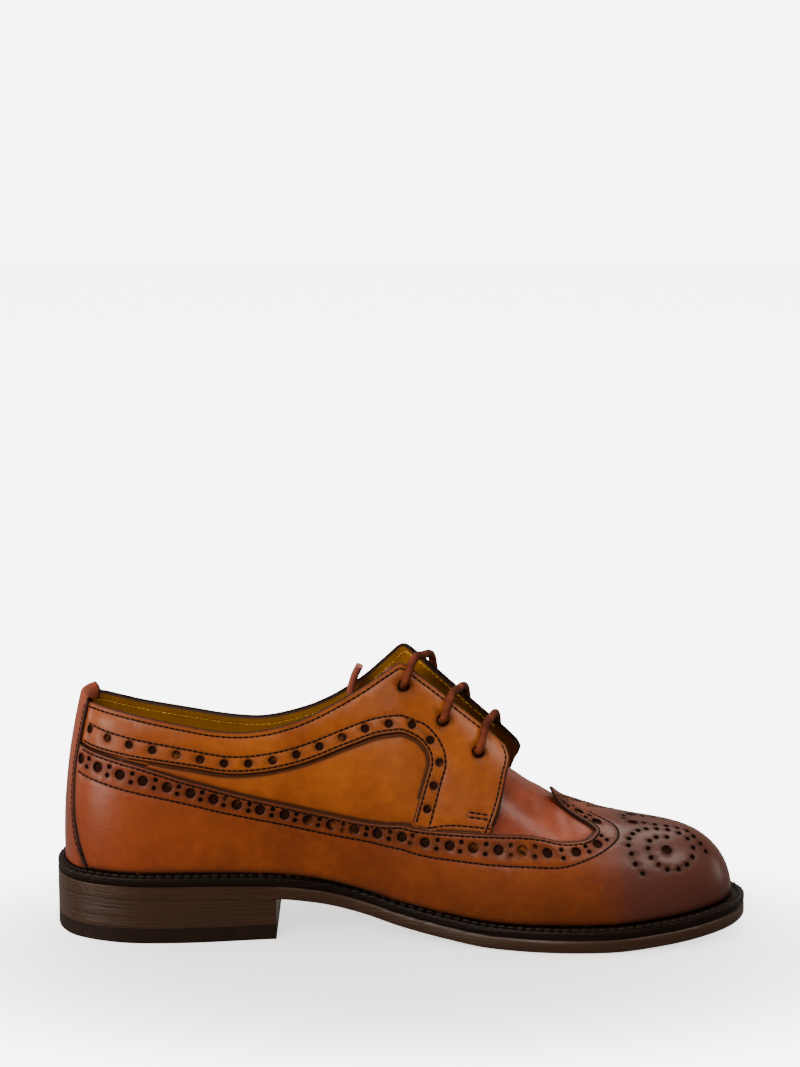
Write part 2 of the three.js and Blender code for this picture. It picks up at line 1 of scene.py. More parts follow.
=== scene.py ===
"""A left derby shoe in tan leather with a long wing cap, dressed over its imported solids."""

import math

import bmesh
import bpy
import numpy as np
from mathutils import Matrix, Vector
from mathutils.geometry import delaunay_2d_cdt


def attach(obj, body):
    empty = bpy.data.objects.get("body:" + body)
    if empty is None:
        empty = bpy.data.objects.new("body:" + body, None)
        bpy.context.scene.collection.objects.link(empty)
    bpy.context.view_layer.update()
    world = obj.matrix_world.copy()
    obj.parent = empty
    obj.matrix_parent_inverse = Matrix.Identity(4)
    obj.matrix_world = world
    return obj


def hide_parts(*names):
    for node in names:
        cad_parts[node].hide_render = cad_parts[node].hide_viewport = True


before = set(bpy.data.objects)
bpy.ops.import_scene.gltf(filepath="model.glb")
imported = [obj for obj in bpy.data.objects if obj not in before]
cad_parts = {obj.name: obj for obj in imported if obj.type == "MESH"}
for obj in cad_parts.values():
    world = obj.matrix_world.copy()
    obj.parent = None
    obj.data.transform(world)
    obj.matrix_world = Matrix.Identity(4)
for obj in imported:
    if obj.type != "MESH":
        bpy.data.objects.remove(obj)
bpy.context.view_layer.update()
MM = 0.001

# Camera: a long lens a little over a metre from the shoe's inner side, looking slightly down,
# with the shoe in the lower part of a tall picture.
camera_data = bpy.data.cameras.new("camera")
camera_data.sensor_width = 36
camera_data.lens = 103.3
camera_tilt = 11.72
camera = bpy.data.objects.new("camera", camera_data)
camera.location = (-0.05 * MM, -1151.3 * MM, 392.8 * MM)
camera.rotation_euler = (math.radians(90 - camera_tilt), 0, 0)
bpy.context.scene.collection.objects.link(camera)
bpy.context.scene.camera = camera


# Laces: one waxed round cord with three bars over the facings, running behind them through the
# eyelets, and a loose end that lies inside the outer quarter. Both follow the surface of the last.
def table(columns, *rows):
    """Rows of numbers as named columns"""
    return {name: np.array(column, float) for name, column in zip(columns.split(), zip(*rows))}


def curve(xs, ys):
    """Smooth monotone curve through a column of a table"""
    secant = np.diff(ys) / np.diff(xs)
    slope = np.empty(len(xs))
    slope[0], slope[-1] = secant[0], secant[-1]
    a, b = secant[:-1], secant[1:]
    turning = a * b <= 0
    slope[1:-1] = np.where(turning, 0, 2 * a * b / np.where(turning, 1, a + b))

    def at(x):
        x = np.clip(x, xs[0], xs[-1])
        i = np.clip(np.searchsorted(xs, x, "right") - 1, 0, len(xs) - 2)
        h = xs[i + 1] - xs[i]
        w = (x - xs[i]) / h
        return (ys[i] * (1 + 2 * w) * (1 - w) ** 2 + slope[i] * h * w * (1 - w) ** 2
                + ys[i + 1] * w * w * (3 - 2 * w) + slope[i + 1] * h * w * w * (w - 1))
    return at


UPPER_LENGTH, BALL_WIDTH, INSTEP_HEIGHT = 260, 82, 87
HEEL_HEIGHT, BALL_HEIGHT, TOE_SPRING = 26.2, 8.9, 5.6
FACING_LIFT, LIFT_POWER, RIB_POWER, BELLY_POWER = 15.5, 4, 2.15, 0.6
HEEL_LEAN, TOE_LEAN, HEEL_LEAN_END, TOE_LEAN_START, CLEARANCE = 26, 30, 0.256, 0.717, 0.3
QUARTER_OUTER, QUARTER_INNER, VAMP_OUTER = -0.7, -3.1, -1.9
MIDDLE_X, MIDDLE_Y = 130.446, 0.677

FEATHER = table(
    "at medial lateral",
    (0, 0, 0), (0.023, 0.22, 0.22), (0.09, 0.335, 0.33), (0.179, 0.348, 0.348),
    (0.313, 0.299, 0.372), (0.429, 0.274, 0.433), (0.544, 0.342, 0.492), (0.64, 0.436, 0.512),
    (0.737, 0.49, 0.485), (0.84, 0.468, 0.395), (0.933, 0.37, 0.24), (0.985, 0.252, 0.05),
    (1, 0.134, -0.134))
SEAT = table(
    "at heel toe",
    (-0.02, 1, 0), (0.18, 0.994, 0), (0.317, 0.908, 0), (0.379, 0.775, 0), (0.448, 0.52, 0),
    (0.502, 0.289, 0), (0.571, 0.104, 0), (0.64, 0.012, 0), (0.7, 0, 0), (0.8, 0, 0),
    (0.883, 0, 0.22), (0.952, 0, 0.53), (1.02, 0, 1))
CREST = table(
    "at rise swing lift",
    (0.1, 0.962, 0, 1.1), (0.22, 0.962, 0, 1.1), (0.33, 0.982, 0, 1), (0.43, 1.012, 0, 0.95),
    (0.498, 1.02, -0.003, 0.97), (0.529, 0.947, -0.01, 0.98), (0.602, 0.76, -0.026, 1.02),
    (0.667, 0.612, -0.041, 0.97), (0.708, 0.536, -0.053, 0.9), (0.738, 0.488, -0.06, 0.9),
    (0.789, 0.43, -0.075, 0.9), (0.829, 0.402, -0.087, 0.9), (0.885, 0.369, -0.104, 0.9))
BELLY = table(
    "at medial lateral",
    (0, 0.004, 0.004), (0.06, 0.022, 0.022), (0.22, 0.024, 0.018), (0.33, 0.043, 0.014),
    (0.43, 0.055, 0.012), (0.544, 0.049, 0.015), (0.64, 0.03, 0.018), (0.737, 0.024, 0.024),
    (0.933, 0.012, 0.012), (1, 0, 0))

TOE_ROW = len(FEATHER["at"]) - 1
FEATHER_LOOP = np.concatenate([
    np.stack([FEATHER["at"] * UPPER_LENGTH, -FEATHER["medial"] * BALL_WIDTH], 1),
    np.stack([FEATHER["at"] * UPPER_LENGTH, FEATHER["lateral"] * BALL_WIDTH], 1)[1:-1][::-1]])

heel_share = curve(SEAT["at"], SEAT["heel"])
toe_share = curve(SEAT["at"], SEAT["toe"])
crest_rise = curve(CREST["at"], CREST["rise"])
crest_swing = curve(CREST["at"], CREST["swing"])
crest_lift = curve(CREST["at"], CREST["lift"])
belly = {side: curve(BELLY["at"], BELLY[side]) for side in ("medial", "lateral")}


def seat(x):
    """Height of the feather line over the ground"""
    share = x / UPPER_LENGTH
    return BALL_HEIGHT + (HEEL_HEIGHT - BALL_HEIGHT) * heel_share(share) + TOE_SPRING * toe_share(share)


def spline(points, along, closed):
    """Centripetal curve through points, at places counted in points"""
    count = len(points)
    i = np.floor(along).astype(int)
    if closed:
        near = [points[(i + k) % count] for k in (-1, 0, 1, 2)]
    else:
        i = np.clip(i, 0, count - 2)
        padded = np.concatenate([[2 * points[0] - points[1]], points, [2 * points[-1] - points[-2]]])
        near = [padded[i + k] for k in range(4)]
    w = (along - i)[:, None]
    span = [np.maximum(np.sum((q - p) ** 2, 1) ** 0.25, 1e-4)[:, None] for p, q in zip(near, near[1:])]
    p0, p1, p2, p3 = near
    m1 = ((p1 - p0) / span[0] - (p2 - p0) / (span[0] + span[1]) + (p2 - p1) / span[1]) * span[1]
    m2 = ((p2 - p1) / span[1] - (p3 - p1) / (span[1] + span[2]) + (p3 - p2) / span[2]) * span[1]
    return p1 + m1 * w + (3 * (p2 - p1) - 2 * m1 - m2) * w ** 2 + (2 * (p1 - p2) + m1 + m2) * w ** 3


def plan(turn):
    """The feather line from above: turn runs from 0 at the heel, below 0 on the inner side"""
    along = np.where(turn <= 0, -turn, 2 * TOE_ROW - turn) % (2 * TOE_ROW)
    return spline(FEATHER_LOOP, along, True)


def plan_out(turn, out):
    """The feather line moved outward"""
    probe = 0.02
    run = plan(turn + probe) - plan(turn - probe)
    run /= np.linalg.norm(run, axis=1)[:, None]
    return plan(turn) + np.stack([-run[:, 1], run[:, 0]], 1) * np.reshape(out, (-1, 1))


def placed(spots, height):
    """Points in the frame, in metres, from places in the plan and heights in millimetres"""
    return np.stack([spots[:, 0] - MIDDLE_X, spots[:, 1] - MIDDLE_Y, height], 1) * MM


def surface(row, rib, out=0.0, lifted=0.0):
    """Points over the last in metres: row from heel 0 to toe, rib from the inner feather line 0
    over the crest 1 to the outer feather line 2, out along the thickness of the leather"""
    row, rib, out, lifted = np.broadcast_arrays(*(np.atleast_1d(np.asarray(a, float))
                                                  for a in (row, rib, out, lifted)))
    inner_side = rib <= 1
    turn = np.where(inner_side, -row, row)
    up = np.where(inner_side, rib, 2 - rib)
    foot = plan_out(turn, out)
    x = (plan(-row)[:, 0] + plan(row)[:, 0]) / 2
    heel_end, toe_start = HEEL_LEAN_END * UPPER_LENGTH, TOE_LEAN_START * UPPER_LENGTH
    lean = np.where(x < heel_end, HEEL_LEAN * (1 - x / heel_end) ** 2, 0)
    lean -= np.where(x > toe_start, TOE_LEAN * ((x - toe_start) / (UPPER_LENGTH - toe_start)) ** 2, 0)

    def height(at):
        return seat(at) + crest_rise(at / UPPER_LENGTH) * INSTEP_HEIGHT
    at = x + lean
    fall = (height(at + 1) - height(at - 1)) / 2
    stretch = np.hypot(1, fall)
    top = np.stack([at - fall / stretch * out, crest_swing(at / UPPER_LENGTH) * BALL_WIDTH,
                    height(at) + out / stretch], 1)
    angle = np.clip(up, 0, 1) * math.pi / 2
    inward = 1 - np.cos(angle) ** (2 / RIB_POWER)
    rise = np.sin(angle) ** (2 / RIB_POWER)
    across = top[:, :2] - foot
    reach = np.linalg.norm(across, axis=1)[:, None]
    share = x / UPPER_LENGTH
    bellied = np.where(inner_side, belly["medial"](share), belly["lateral"](share))
    bellied = bellied * BALL_WIDTH * np.sin(math.pi * rise ** BELLY_POWER)
    place = foot + across * inward[:, None] - across / reach * bellied[:, None]
    base = seat(foot[:, 0]) + CLEARANCE
    lift = lifted * FACING_LIFT * crest_lift(at / UPPER_LENGTH) * rise ** LIFT_POWER
    z = base + (top[:, 2] - base) * rise + lift
    return placed(place, z)


def grid_directions(row, rib, lifted=0.0):
    """How the surface runs along row and along rib, and its outward direction"""
    step = 0.01
    along = (surface(row + step, rib, 0, lifted) - surface(row - step, rib, 0, lifted)) / (2 * step)
    climb = (surface(row, rib + step, 0, lifted) - surface(row, rib - step, 0, lifted)) / (2 * step)
    outward = np.cross(along, climb)
    outward /= np.linalg.norm(outward, axis=1)[:, None]
    return along, climb, outward


def over(row, rib, out, lifted=1.0):
    """Points at a true distance from the surface, in millimetres"""
    row, rib = np.atleast_1d(np.asarray(row, float)), np.atleast_1d(np.asarray(rib, float))
    outward = grid_directions(row, rib, lifted)[2]
    return surface(row, rib, 0, lifted) + outward * np.reshape(out, (-1, 1)) * MM


def rib_at(up, outer_side):
    """Place between the feather lines for a height over one side's own"""
    return 2 - up if outer_side else up


LACE_DIAMETER, LACE_CLEARANCE, LACE_SAG = 3.2, 0.85, 0.01
LACE_OUT = QUARTER_OUTER + LACE_CLEARANCE + LACE_DIAMETER / 2
LACE_MIDDLE = (QUARTER_OUTER + QUARTER_INNER) / 2
LACE_IN = QUARTER_INNER - LACE_CLEARANCE - LACE_DIAMETER / 2
CROWN_RISE = 0.2 * LACE_DIAMETER
EYELETS = table("medial lateral up", (6.76, 7.1, 0.66), (6.21, 6.62, 0.665), (5.67, 6.1, 0.656))
BAR = table("share rib sunk", (0.25, 0.8, 0), (0.8, 1.11, 0.8), (0.95, 1.2, 1.6), (1, 0, 1.6))
LACE_END = table("row up", (6.9, 0.69), (6.7, 0.715), (6.4, 0.725), (6.1, 0.72), (5.8, 0.698),
                 (5.53, 0.645), (5.36, 0.57), (5.24, 0.5), (5.1, 0.465), (4.98, 0.5),
                 (5.02, 0.57), (5.1, 0.632))


def bar(i):
    """Over both facings from the inner eyelet to the outer one, highest over the gap"""
    medial, lateral, up = (EYELETS[k][i] for k in ("medial", "lateral", "up"))
    rows = medial + (lateral - medial) * np.array([0, *BAR["share"]])
    ribs = np.array([up, *BAR["rib"][:-1], 2 - up])
    points = over(rows, ribs, LACE_OUT - np.array([0, *BAR["sunk"]]))
    crown = (points[1] + points[2]) / 2 + np.array([0, 0, CROWN_RISE * MM])
    return np.insert(points, 2, crown, axis=0)


def lace_points():
    """Middle of the lace through the eyelets from the top inner one to the lowest outer one"""
    def through(i, outer_side):
        row = EYELETS["lateral" if outer_side else "medial"][i]
        rib = rib_at(EYELETS["up"][i], outer_side)
        return over([row, row], [rib, rib], [LACE_IN, LACE_MIDDLE])

    def behind_facing(i, outer_side):
        rows = EYELETS["lateral" if outer_side else "medial"]
        up = (EYELETS["up"][0] + EYELETS["up"][-1]) / 2 - LACE_SAG
        return over((rows[i] + rows[i - 1]) / 2, rib_at(up, outer_side), LACE_IN)

    points = []
    for i, from_outer in ((2, False), (1, True), (0, False)):
        run = [*through(i, False), *bar(i), *through(i, True)[::-1]]
        points += run[::-1] if from_outer else run
        if i > 0:
            points += [*behind_facing(i, not from_outer)]
    return np.array(points)


def round_cord(name, points, diameter, per_point):
    """A cord along a smooth curve through points, and the curve's own points"""
    dense = spline(points, np.linspace(0, len(points) - 1, (len(points) - 1) * per_point + 1), False)
    data = bpy.data.curves.new(name, "CURVE")
    data.dimensions = "3D"
    data.bevel_depth = diameter / 2
    data.bevel_resolution = 3
    data.use_fill_caps = True
    line = data.splines.new("POLY")
    line.points.add(len(dense) - 1)
    line.points.foreach_set("co", np.concatenate([dense, np.ones((len(dense), 1))], 1).ravel())
    cord = bpy.data.objects.new(name, data)
    bpy.context.scene.collection.objects.link(cord)
    return cord, dense


class Amount:
    """A number that a material works out, with plain arithmetic"""

    def __init__(self, material, socket):
        self.material, self.socket = material, socket

    def reckon(self, operation, a, b):
        made = self.material.node("ShaderNodeMath", {"operation": operation}, {0: a, 1: b})
        return Amount(self.material, made.outputs[0])

    def __add__(self, other): return self.reckon("ADD", self, other)
    def __radd__(self, other): return self.reckon("ADD", other, self)
    def __sub__(self, other): return self.reckon("SUBTRACT", self, other)
    def __rsub__(self, other): return self.reckon("SUBTRACT", other, self)
    def __mul__(self, other): return self.reckon("MULTIPLY", self, other)
    def __rmul__(self, other): return self.reckon("MULTIPLY", other, self)
    def __truediv__(self, other): return self.reckon("DIVIDE", self, other)
    def __rtruediv__(self, other): return self.reckon("DIVIDE", other, self)
    def __pow__(self, other): return self.reckon("POWER", self, other)

    def between(self, low, high):
        """0 below low, 1 above high, smooth in between"""
        made = self.material.node("ShaderNodeMapRange", {"interpolation_type": "SMOOTHSTEP"},
                                  {"Value": self, "From Min": low, "From Max": high})
        return Amount(self.material, made.outputs["Result"])


class Finish:
    """One material"""

    def __init__(self, name):
        self.made = bpy.data.materials.new(name)
        self.made.use_nodes = True
        self.tree = self.made.node_tree
        self.shader = self.tree.nodes["Principled BSDF"]

    def node(self, kind, settings=None, inputs=None):
        """A new node with its settings and inputs, each input a number or what another node gives"""
        made = self.tree.nodes.new(kind)
        for key, value in (settings or {}).items():
            setattr(made, key, value)
        self.fill(made, inputs or {})
        return made

    def fill(self, node, inputs):
        for key, value in inputs.items():
            value = value.socket if isinstance(value, Amount) else value
            if isinstance(value, bpy.types.NodeSocket):
                self.tree.links.new(value, node.inputs[key])
            else:
                node.inputs[key].default_value = value

    def place(self):
        return self.node("ShaderNodeTexCoord").outputs["Object"]

    def axis(self, name):
        parts = self.node("ShaderNodeSeparateXYZ", {}, {"Vector": self.place()})
        return Amount(self, parts.outputs[name])

    def noise(self, size, detail=3.0, stretch=(1, 1, 1)):
        """Cloudy pattern, size in metres"""
        place = self.node("ShaderNodeMapping", {}, {"Vector": self.place(), "Scale": stretch})
        made = self.node("ShaderNodeTexNoise", {}, {
            "Vector": place.outputs["Vector"], "Scale": 1 / size, "Detail": detail})
        return Amount(self, made.outputs["Fac"])

    def mark(self, name):
        made = self.node("ShaderNodeAttribute", {"attribute_name": name})
        return Amount(self, made.outputs["Fac"])

    def mix(self, share, first, second):
        made = self.node("ShaderNodeMix", {"data_type": "RGBA"}, {0: share, 6: first, 7: second})
        return made.outputs[2]

    def bump(self, height, distance, strength=1.0, under=None):
        inputs = {"Height": height, "Distance": distance, "Strength": strength}
        if under:
            inputs["Normal"] = under
        return self.node("ShaderNodeBump", {}, inputs).outputs["Normal"]

    def show(self, **values):
        names = {"colour": "Base Color", "rough": "Roughness", "coat": "Coat Weight",
                 "coat_rough": "Coat Roughness", "bump": "Normal", "shine": "Specular IOR Level",
                 "glow": "Emission Color", "glow_strength": "Emission Strength"}
        self.fill(self.shader, {names[key]: value for key, value in values.items()})
        return self.made


def colour(red, green, blue):
    """Colour as seen on a screen, 0 to 255, for a material"""
    def linear(c):
        c /= 255
        return c / 12.92 if c <= 0.04045 else ((c + 0.055) / 1.055) ** 2.4
    return (linear(red), linear(green), linear(blue), 1)


def waxed_cotton():
    """Dark brown braid with lighter worn places"""
    finish = Finish("waxed_cotton")
    weave = finish.noise(0.0006, 2)
    wear = finish.noise(0.006, 2).between(0.35, 0.75)
    return finish.show(
        colour=finish.mix(wear, colour(56, 23, 12), colour(92, 42, 25)),
        rough=0.7, shine=0.04, bump=finish.bump(weave, 0.0003, 0.6))


def pale_tip():
    """The smoother, paler end of the lace"""
    finish = Finish("pressed_lace_tip")
    return finish.show(colour=colour(112, 58, 46), rough=0.5, shine=0.2)


def dress(piece, materials, slot, *stands_for):
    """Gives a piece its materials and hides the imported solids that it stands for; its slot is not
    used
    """
    for material in materials:
        piece.data.materials.append(material)
    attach(piece, "root")
    if stands_for:
        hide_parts(*stands_for)
    return piece


lace, _ = round_cord("lace", lace_points(), LACE_DIAMETER * MM, 10)
dress(lace, [waxed_cotton()], "lace_cotton", "lace")

end_points = over(LACE_END["row"], 2 - LACE_END["up"], LACE_IN - LACE_CLEARANCE)
lace_end, end_line = round_cord("lace_end", end_points, LACE_DIAMETER * MM, 8)
dress(lace_end, [pale_tip()], "lace_cotton", "lace_end")


# Quarters: two tan leather sides that meet at the heel and carry the facings. The upper panel has a
# punched band along its lower edge, stitched over a plain panel below, and a lining behind both.
ROW_LENGTH, RIB_LENGTH = UPPER_LENGTH / TOE_ROW, 100.0
FLAT_SCALE = np.array([ROW_LENGTH, RIB_LENGTH])
TOPLINE = table(
    "row medial lateral",
    (0, 0.499, 0.499), (0.8, 0.501, 0.491), (1.27, 0.499, 0.475), (2.15, 0.477, 0.432),
    (2.96, 0.447, 0.403), (3.48, 0.424, 0.38), (3.85, 0.427, 0.376), (4.26, 0.456, 0.402),
    (4.7, 0.516, 0.458), (5.13, 0.604, 0.556), (5.42, 0.683, 0.66), (5.62, 0.74, 0.75),
    (5.84, 0.772, 0.832), (6.3, 0.805, 0.872), (6.91, 0.832, 0.885))
FRONT_EDGE = table("up row", (0, 6.6), (0.3, 6.85), (0.48, 7.07), (0.657, 7.2), (0.76, 7.26),
                   (0.82, 7.2))
LATERAL_FRONT = 1.03
BAND_EDGE = table(
    "row up",
    (0.0, 0.365), (0.97, 0.362), (3.01, 0.313), (3.51, 0.291), (3.82, 0.294), (4.19, 0.313),
    (4.58, 0.35), (4.98, 0.405), (5.37, 0.463), (5.56, 0.483), (5.74, 0.5), (5.86, 0.512),
    (5.97, 0.498), (6.0, 0.468), (5.95, 0.416), (5.87, 0.337), (5.78, 0.247), (5.7, 0.18))
WING_TOP = table(
    "row up",
    (0.8, 0.358), (1.58, 0.342), (2.36, 0.314), (3.01, 0.276), (3.82, 0.219), (4.28, 0.199),
    (4.78, 0.19), (5.27, 0.197), (5.77, 0.229), (6.33, 0.286), (6.95, 0.36), (7.3, 0.405),
    (7.58, 0.447), (7.82, 0.487), (8.09, 0.53), (8.39, 0.593), (8.54, 0.675), (8.57, 0.723),
    (8.47, 0.77), (8.32, 0.807), (8.1, 0.873), (7.96, 0.93), (7.9, 1))
FOOT = 0.003
BAND_HOLE_PITCH, BAND_HOLE_IN, BAND_HOLE_RADIUS = 9.4, 4.2, 1.55


def at_points(setting, points):
    """A setting at points: one number for all, or a function of row and rib"""
    if callable(setting):
        return setting(points[:, 0], points[:, 1])
    return np.full(len(points), float(setting))


def laid(points, out, lifted):
    """Points on the surface, from an array of row and rib"""
    return surface(points[:, 0], points[:, 1], out, at_points(lifted, points))


def lengths(spots):
    """How far along a line each of its points lies"""
    return np.concatenate([[0], np.cumsum(np.linalg.norm(np.diff(spots, axis=0), axis=1))])


def smooth_run(points, step=1.5, lifted=1.0):
    """Places spaced evenly along a smooth line through points on the surface"""
    points = np.asarray(points, float)
    if len(points) > 2:
        along = np.linspace(0, len(points) - 1, (len(points) - 1) * 12 + 1)
        fine = spline(points * FLAT_SCALE, along, False) / FLAT_SCALE
    else:
        fine = points[0] + np.linspace(0, 1, 60)[:, None] * (points[1] - points[0])
    run = lengths(laid(fine, 0, lifted) / MM)
    at = np.linspace(0, run[-1], max(1, round(run[-1] / step)) + 1)
    return np.stack([np.interp(at, run, fine[:, k]) for k in (0, 1)], 1)


def beside(line, distance, lifted=1.0, closed=False):
    """The line moved sideways over the surface, to its left, in millimetres"""
    if closed:
        ahead, behind = np.roll(line, -1, 0), np.roll(line, 1, 0)
    else:
        ahead, behind = np.concatenate([line[1:], line[-1:]]), np.concatenate([line[:1], line[:-1]])
    along, climb, outward = grid_directions(line[:, 0], line[:, 1], at_points(lifted, line))
    way = along * (ahead - behind)[:, :1] + climb * (ahead - behind)[:, 1:]
    way /= np.maximum(np.linalg.norm(way, axis=1)[:, None], 1e-9)
    left = np.cross(outward, way) * np.reshape(distance, (-1, 1)) * MM
    return line + on_grid(along, climb, left)


def on_grid(along, climb, step):
    """A step over the surface written as a change of row and rib"""
    aa, ab, bb = np.sum(along * along, 1), np.sum(along * climb, 1), np.sum(climb * climb, 1)
    sa, sb = np.sum(along * step, 1), np.sum(climb * step, 1)
    det = aa * bb - ab * ab
    return np.stack([(bb * sa - ab * sb) / det, (aa * sb - ab * sa) / det], 1)


def ring(centre, radius, sides, lifted):
    """A circle on the surface"""
    along, climb, outward = grid_directions(centre[:1], centre[1:], at_points(lifted, centre[None]))
    first = along / np.linalg.norm(along)
    second = np.cross(outward, first)
    angle = np.linspace(0, 2 * math.pi, sides, endpoint=False)[:, None]
    step = (np.cos(angle) * first + np.sin(angle) * second) * radius * MM
    return centre + on_grid(np.repeat(along, sides, 0), np.repeat(climb, sides, 0), step)


def inside(spots, outline):
    """Which spots lie inside a closed outline"""
    x, y = spots[:, 0][:, None], spots[:, 1][:, None]
    ax, ay = outline[:, 0][None], outline[:, 1][None]
    bx, by = np.roll(ax, -1), np.roll(ay, -1)
    crossing = (ay > y) != (by > y)
    with np.errstate(divide="ignore", invalid="ignore"):
        left = x < (bx - ax) * (y - ay) / (by - ay) + ax
    return np.sum(crossing & left, 1) % 2 == 1


def mesh_piece(name, places, faces, smooth=45, marks=None, materials=None):
    """Mesh object, with a darkness at each point from dyed rims and painted shade, and a material at
    each face
    """
    mesh = bpy.data.meshes.new(name)
    mesh.from_pydata([tuple(p) for p in places], [], faces)
    if marks is not None:
        edge = mesh.attributes.new("edge", "FLOAT", "POINT")
        edge.data.foreach_set("value", np.asarray(marks, np.float32))
    if materials is not None:
        mesh.polygons.foreach_set("material_index", np.asarray(materials, np.int32))
    mesh.polygons.foreach_set("use_smooth", np.ones(len(faces), bool))
    mesh.set_sharp_from_angle(angle=math.radians(smooth))
    mesh.validate()
    piece = bpy.data.objects.new(name, mesh)
    bpy.context.scene.collection.objects.link(piece)
    return piece


class Drawing:
    """Points and lines over the last, to be joined into one sheet of triangles. Each point keeps
    how far the sheet drops there, how dark its colour turns (dyed rims, painted shade in troughs) and
    which hole it edges."""

    def __init__(self, lifted, holes):
        self.lifted, self.count = lifted, 0
        self.spots, self.notes, self.edges = [], [], []
        places = np.array([hole[:2] for hole in holes], float).reshape(-1, 2)
        self.centres = laid(places, 0, lifted)
        self.radii = np.array([radius for _, _, radius in holes])

    def clear_of_holes(self, points, margin):
        """Which points stay a margin in millimetres away from every hole"""
        if not len(self.centres):
            return np.ones(len(points), bool)
        gap = np.linalg.norm(laid(points, 0, self.lifted)[:, None] - self.centres, axis=2)
        return (gap - self.radii * MM).min(1) > margin * MM

    def add(self, points, drop=0.0, mark=0.0, hole=-1, linked=True, closed=True):
        """Adds points, linked to a line or not, and gives their numbers"""
        numbers = list(range(self.count, self.count + len(points)))
        self.count += len(points)
        self.spots.append(points)
        self.notes.append(np.stack(np.broadcast_arrays(drop, mark, hole, numbers)[:3], 1))
        if linked:
            self.edges += zip(numbers, numbers[1:])
        if linked and closed:
            self.edges.append((numbers[-1], numbers[0]))
        return numbers

    def add_broken(self, points, drop, mark):
        """Adds an open line that stops where a hole comes in its way"""
        kept = self.clear_of_holes(points, 0.5)
        breaks = np.flatnonzero(~kept)
        for start, end in zip([0, *(breaks + 1)], [*breaks, len(points)]):
            if end - start > 1:
                self.add(points[start:end], drop, mark, closed=False)

    def add_rims(self, outline, on_seam):
        """The outline as a cut edge, with three lines along it where the leather rounds over"""
        rim = self.add(outline, np.where(on_seam, 0, 0.35), np.where(on_seam, 0, 1.0))
        for distance, drop, mark in ((0.35, 0.08, 1.0), (0.9, 0.0, 0.55), (2.0, 0.0, 0.12)):
            moved = beside(outline, np.where(on_seam, 0, distance), self.lifted, True)
            if on_seam.any():
                first = int(np.argmax(on_seam & ~np.roll(on_seam, -1))) + 1
                order = np.roll(np.arange(len(outline)), -first)
                self.add_broken(moved[order][~on_seam[order]], drop, mark)
            else:
                self.add_broken(np.concatenate([moved, moved[:1]]), drop, mark)
        return rim

    def add_hole(self, number, row, rib, radius):
        """A punched hole with a softened rim"""
        centre = np.array([row, rib])
        sides = 14 if radius > 1.2 else 9
        sunk = min(0.3, 0.15 * radius)
        rim = self.add(ring(centre, radius, sides, self.lifted), sunk, 1.0, number)
        self.add(ring(centre, radius + 0.35, sides, self.lifted), 0.15 * sunk, 0.5)
        return rim

    def add_grid(self, outline, spacing):
        """Loose points all over, clear of every line and hole"""
        low, high = outline.min(0), outline.max(0)
        step = spacing / FLAT_SCALE
        rows, ribs = (np.arange(low[k], high[k], step[k]) for k in (0, 1))
        grid = np.stack(np.meshgrid(rows, ribs), -1).reshape(-1, 2)
        grid[:, 0] += (np.round(grid[:, 1] / step[1]) % 2) * spacing / ROW_LENGTH / 2
        grid = grid[inside(grid * FLAT_SCALE, outline * FLAT_SCALE)]
        lines, here = (laid(points, 0, self.lifted) for points in (np.concatenate(self.spots), grid))
        clear = self.clear_of_holes(grid, 0.6)
        for part in np.array_split(np.arange(len(grid)), max(1, len(grid) // 400)):
            gap = np.linalg.norm(here[part][:, None] - lines, axis=2).min(1)
            clear[part] &= gap > 0.35 * spacing * MM
        self.add(grid[clear], linked=False)

    def joined(self, outline):
        """Triangles between all lines, inside the outline, with the drawn point behind each corner"""
        made, _, faces, origin, _, _ = delaunay_2d_cdt(
            [Vector(spot) for spot in np.concatenate(self.spots) * FLAT_SCALE], self.edges, [], 0, 1e-5)
        made = np.array([tuple(spot) for spot in made]) / FLAT_SCALE
        drawn = np.array([numbers[0] if numbers else -1 for numbers in origin])
        faces = np.array([face for face in faces if len(face) == 3])
        faces = faces[inside(made[faces].mean(1) * FLAT_SCALE, outline * FLAT_SCALE)]
        notes = np.where(drawn[:, None] >= 0, np.concatenate(self.notes)[drawn], (0, 0.3, -1))
        return made, faces, drawn, notes.T


LEATHER_FACE, CUT_FACE, HOLE_FACE, LINING_FACE = range(4)


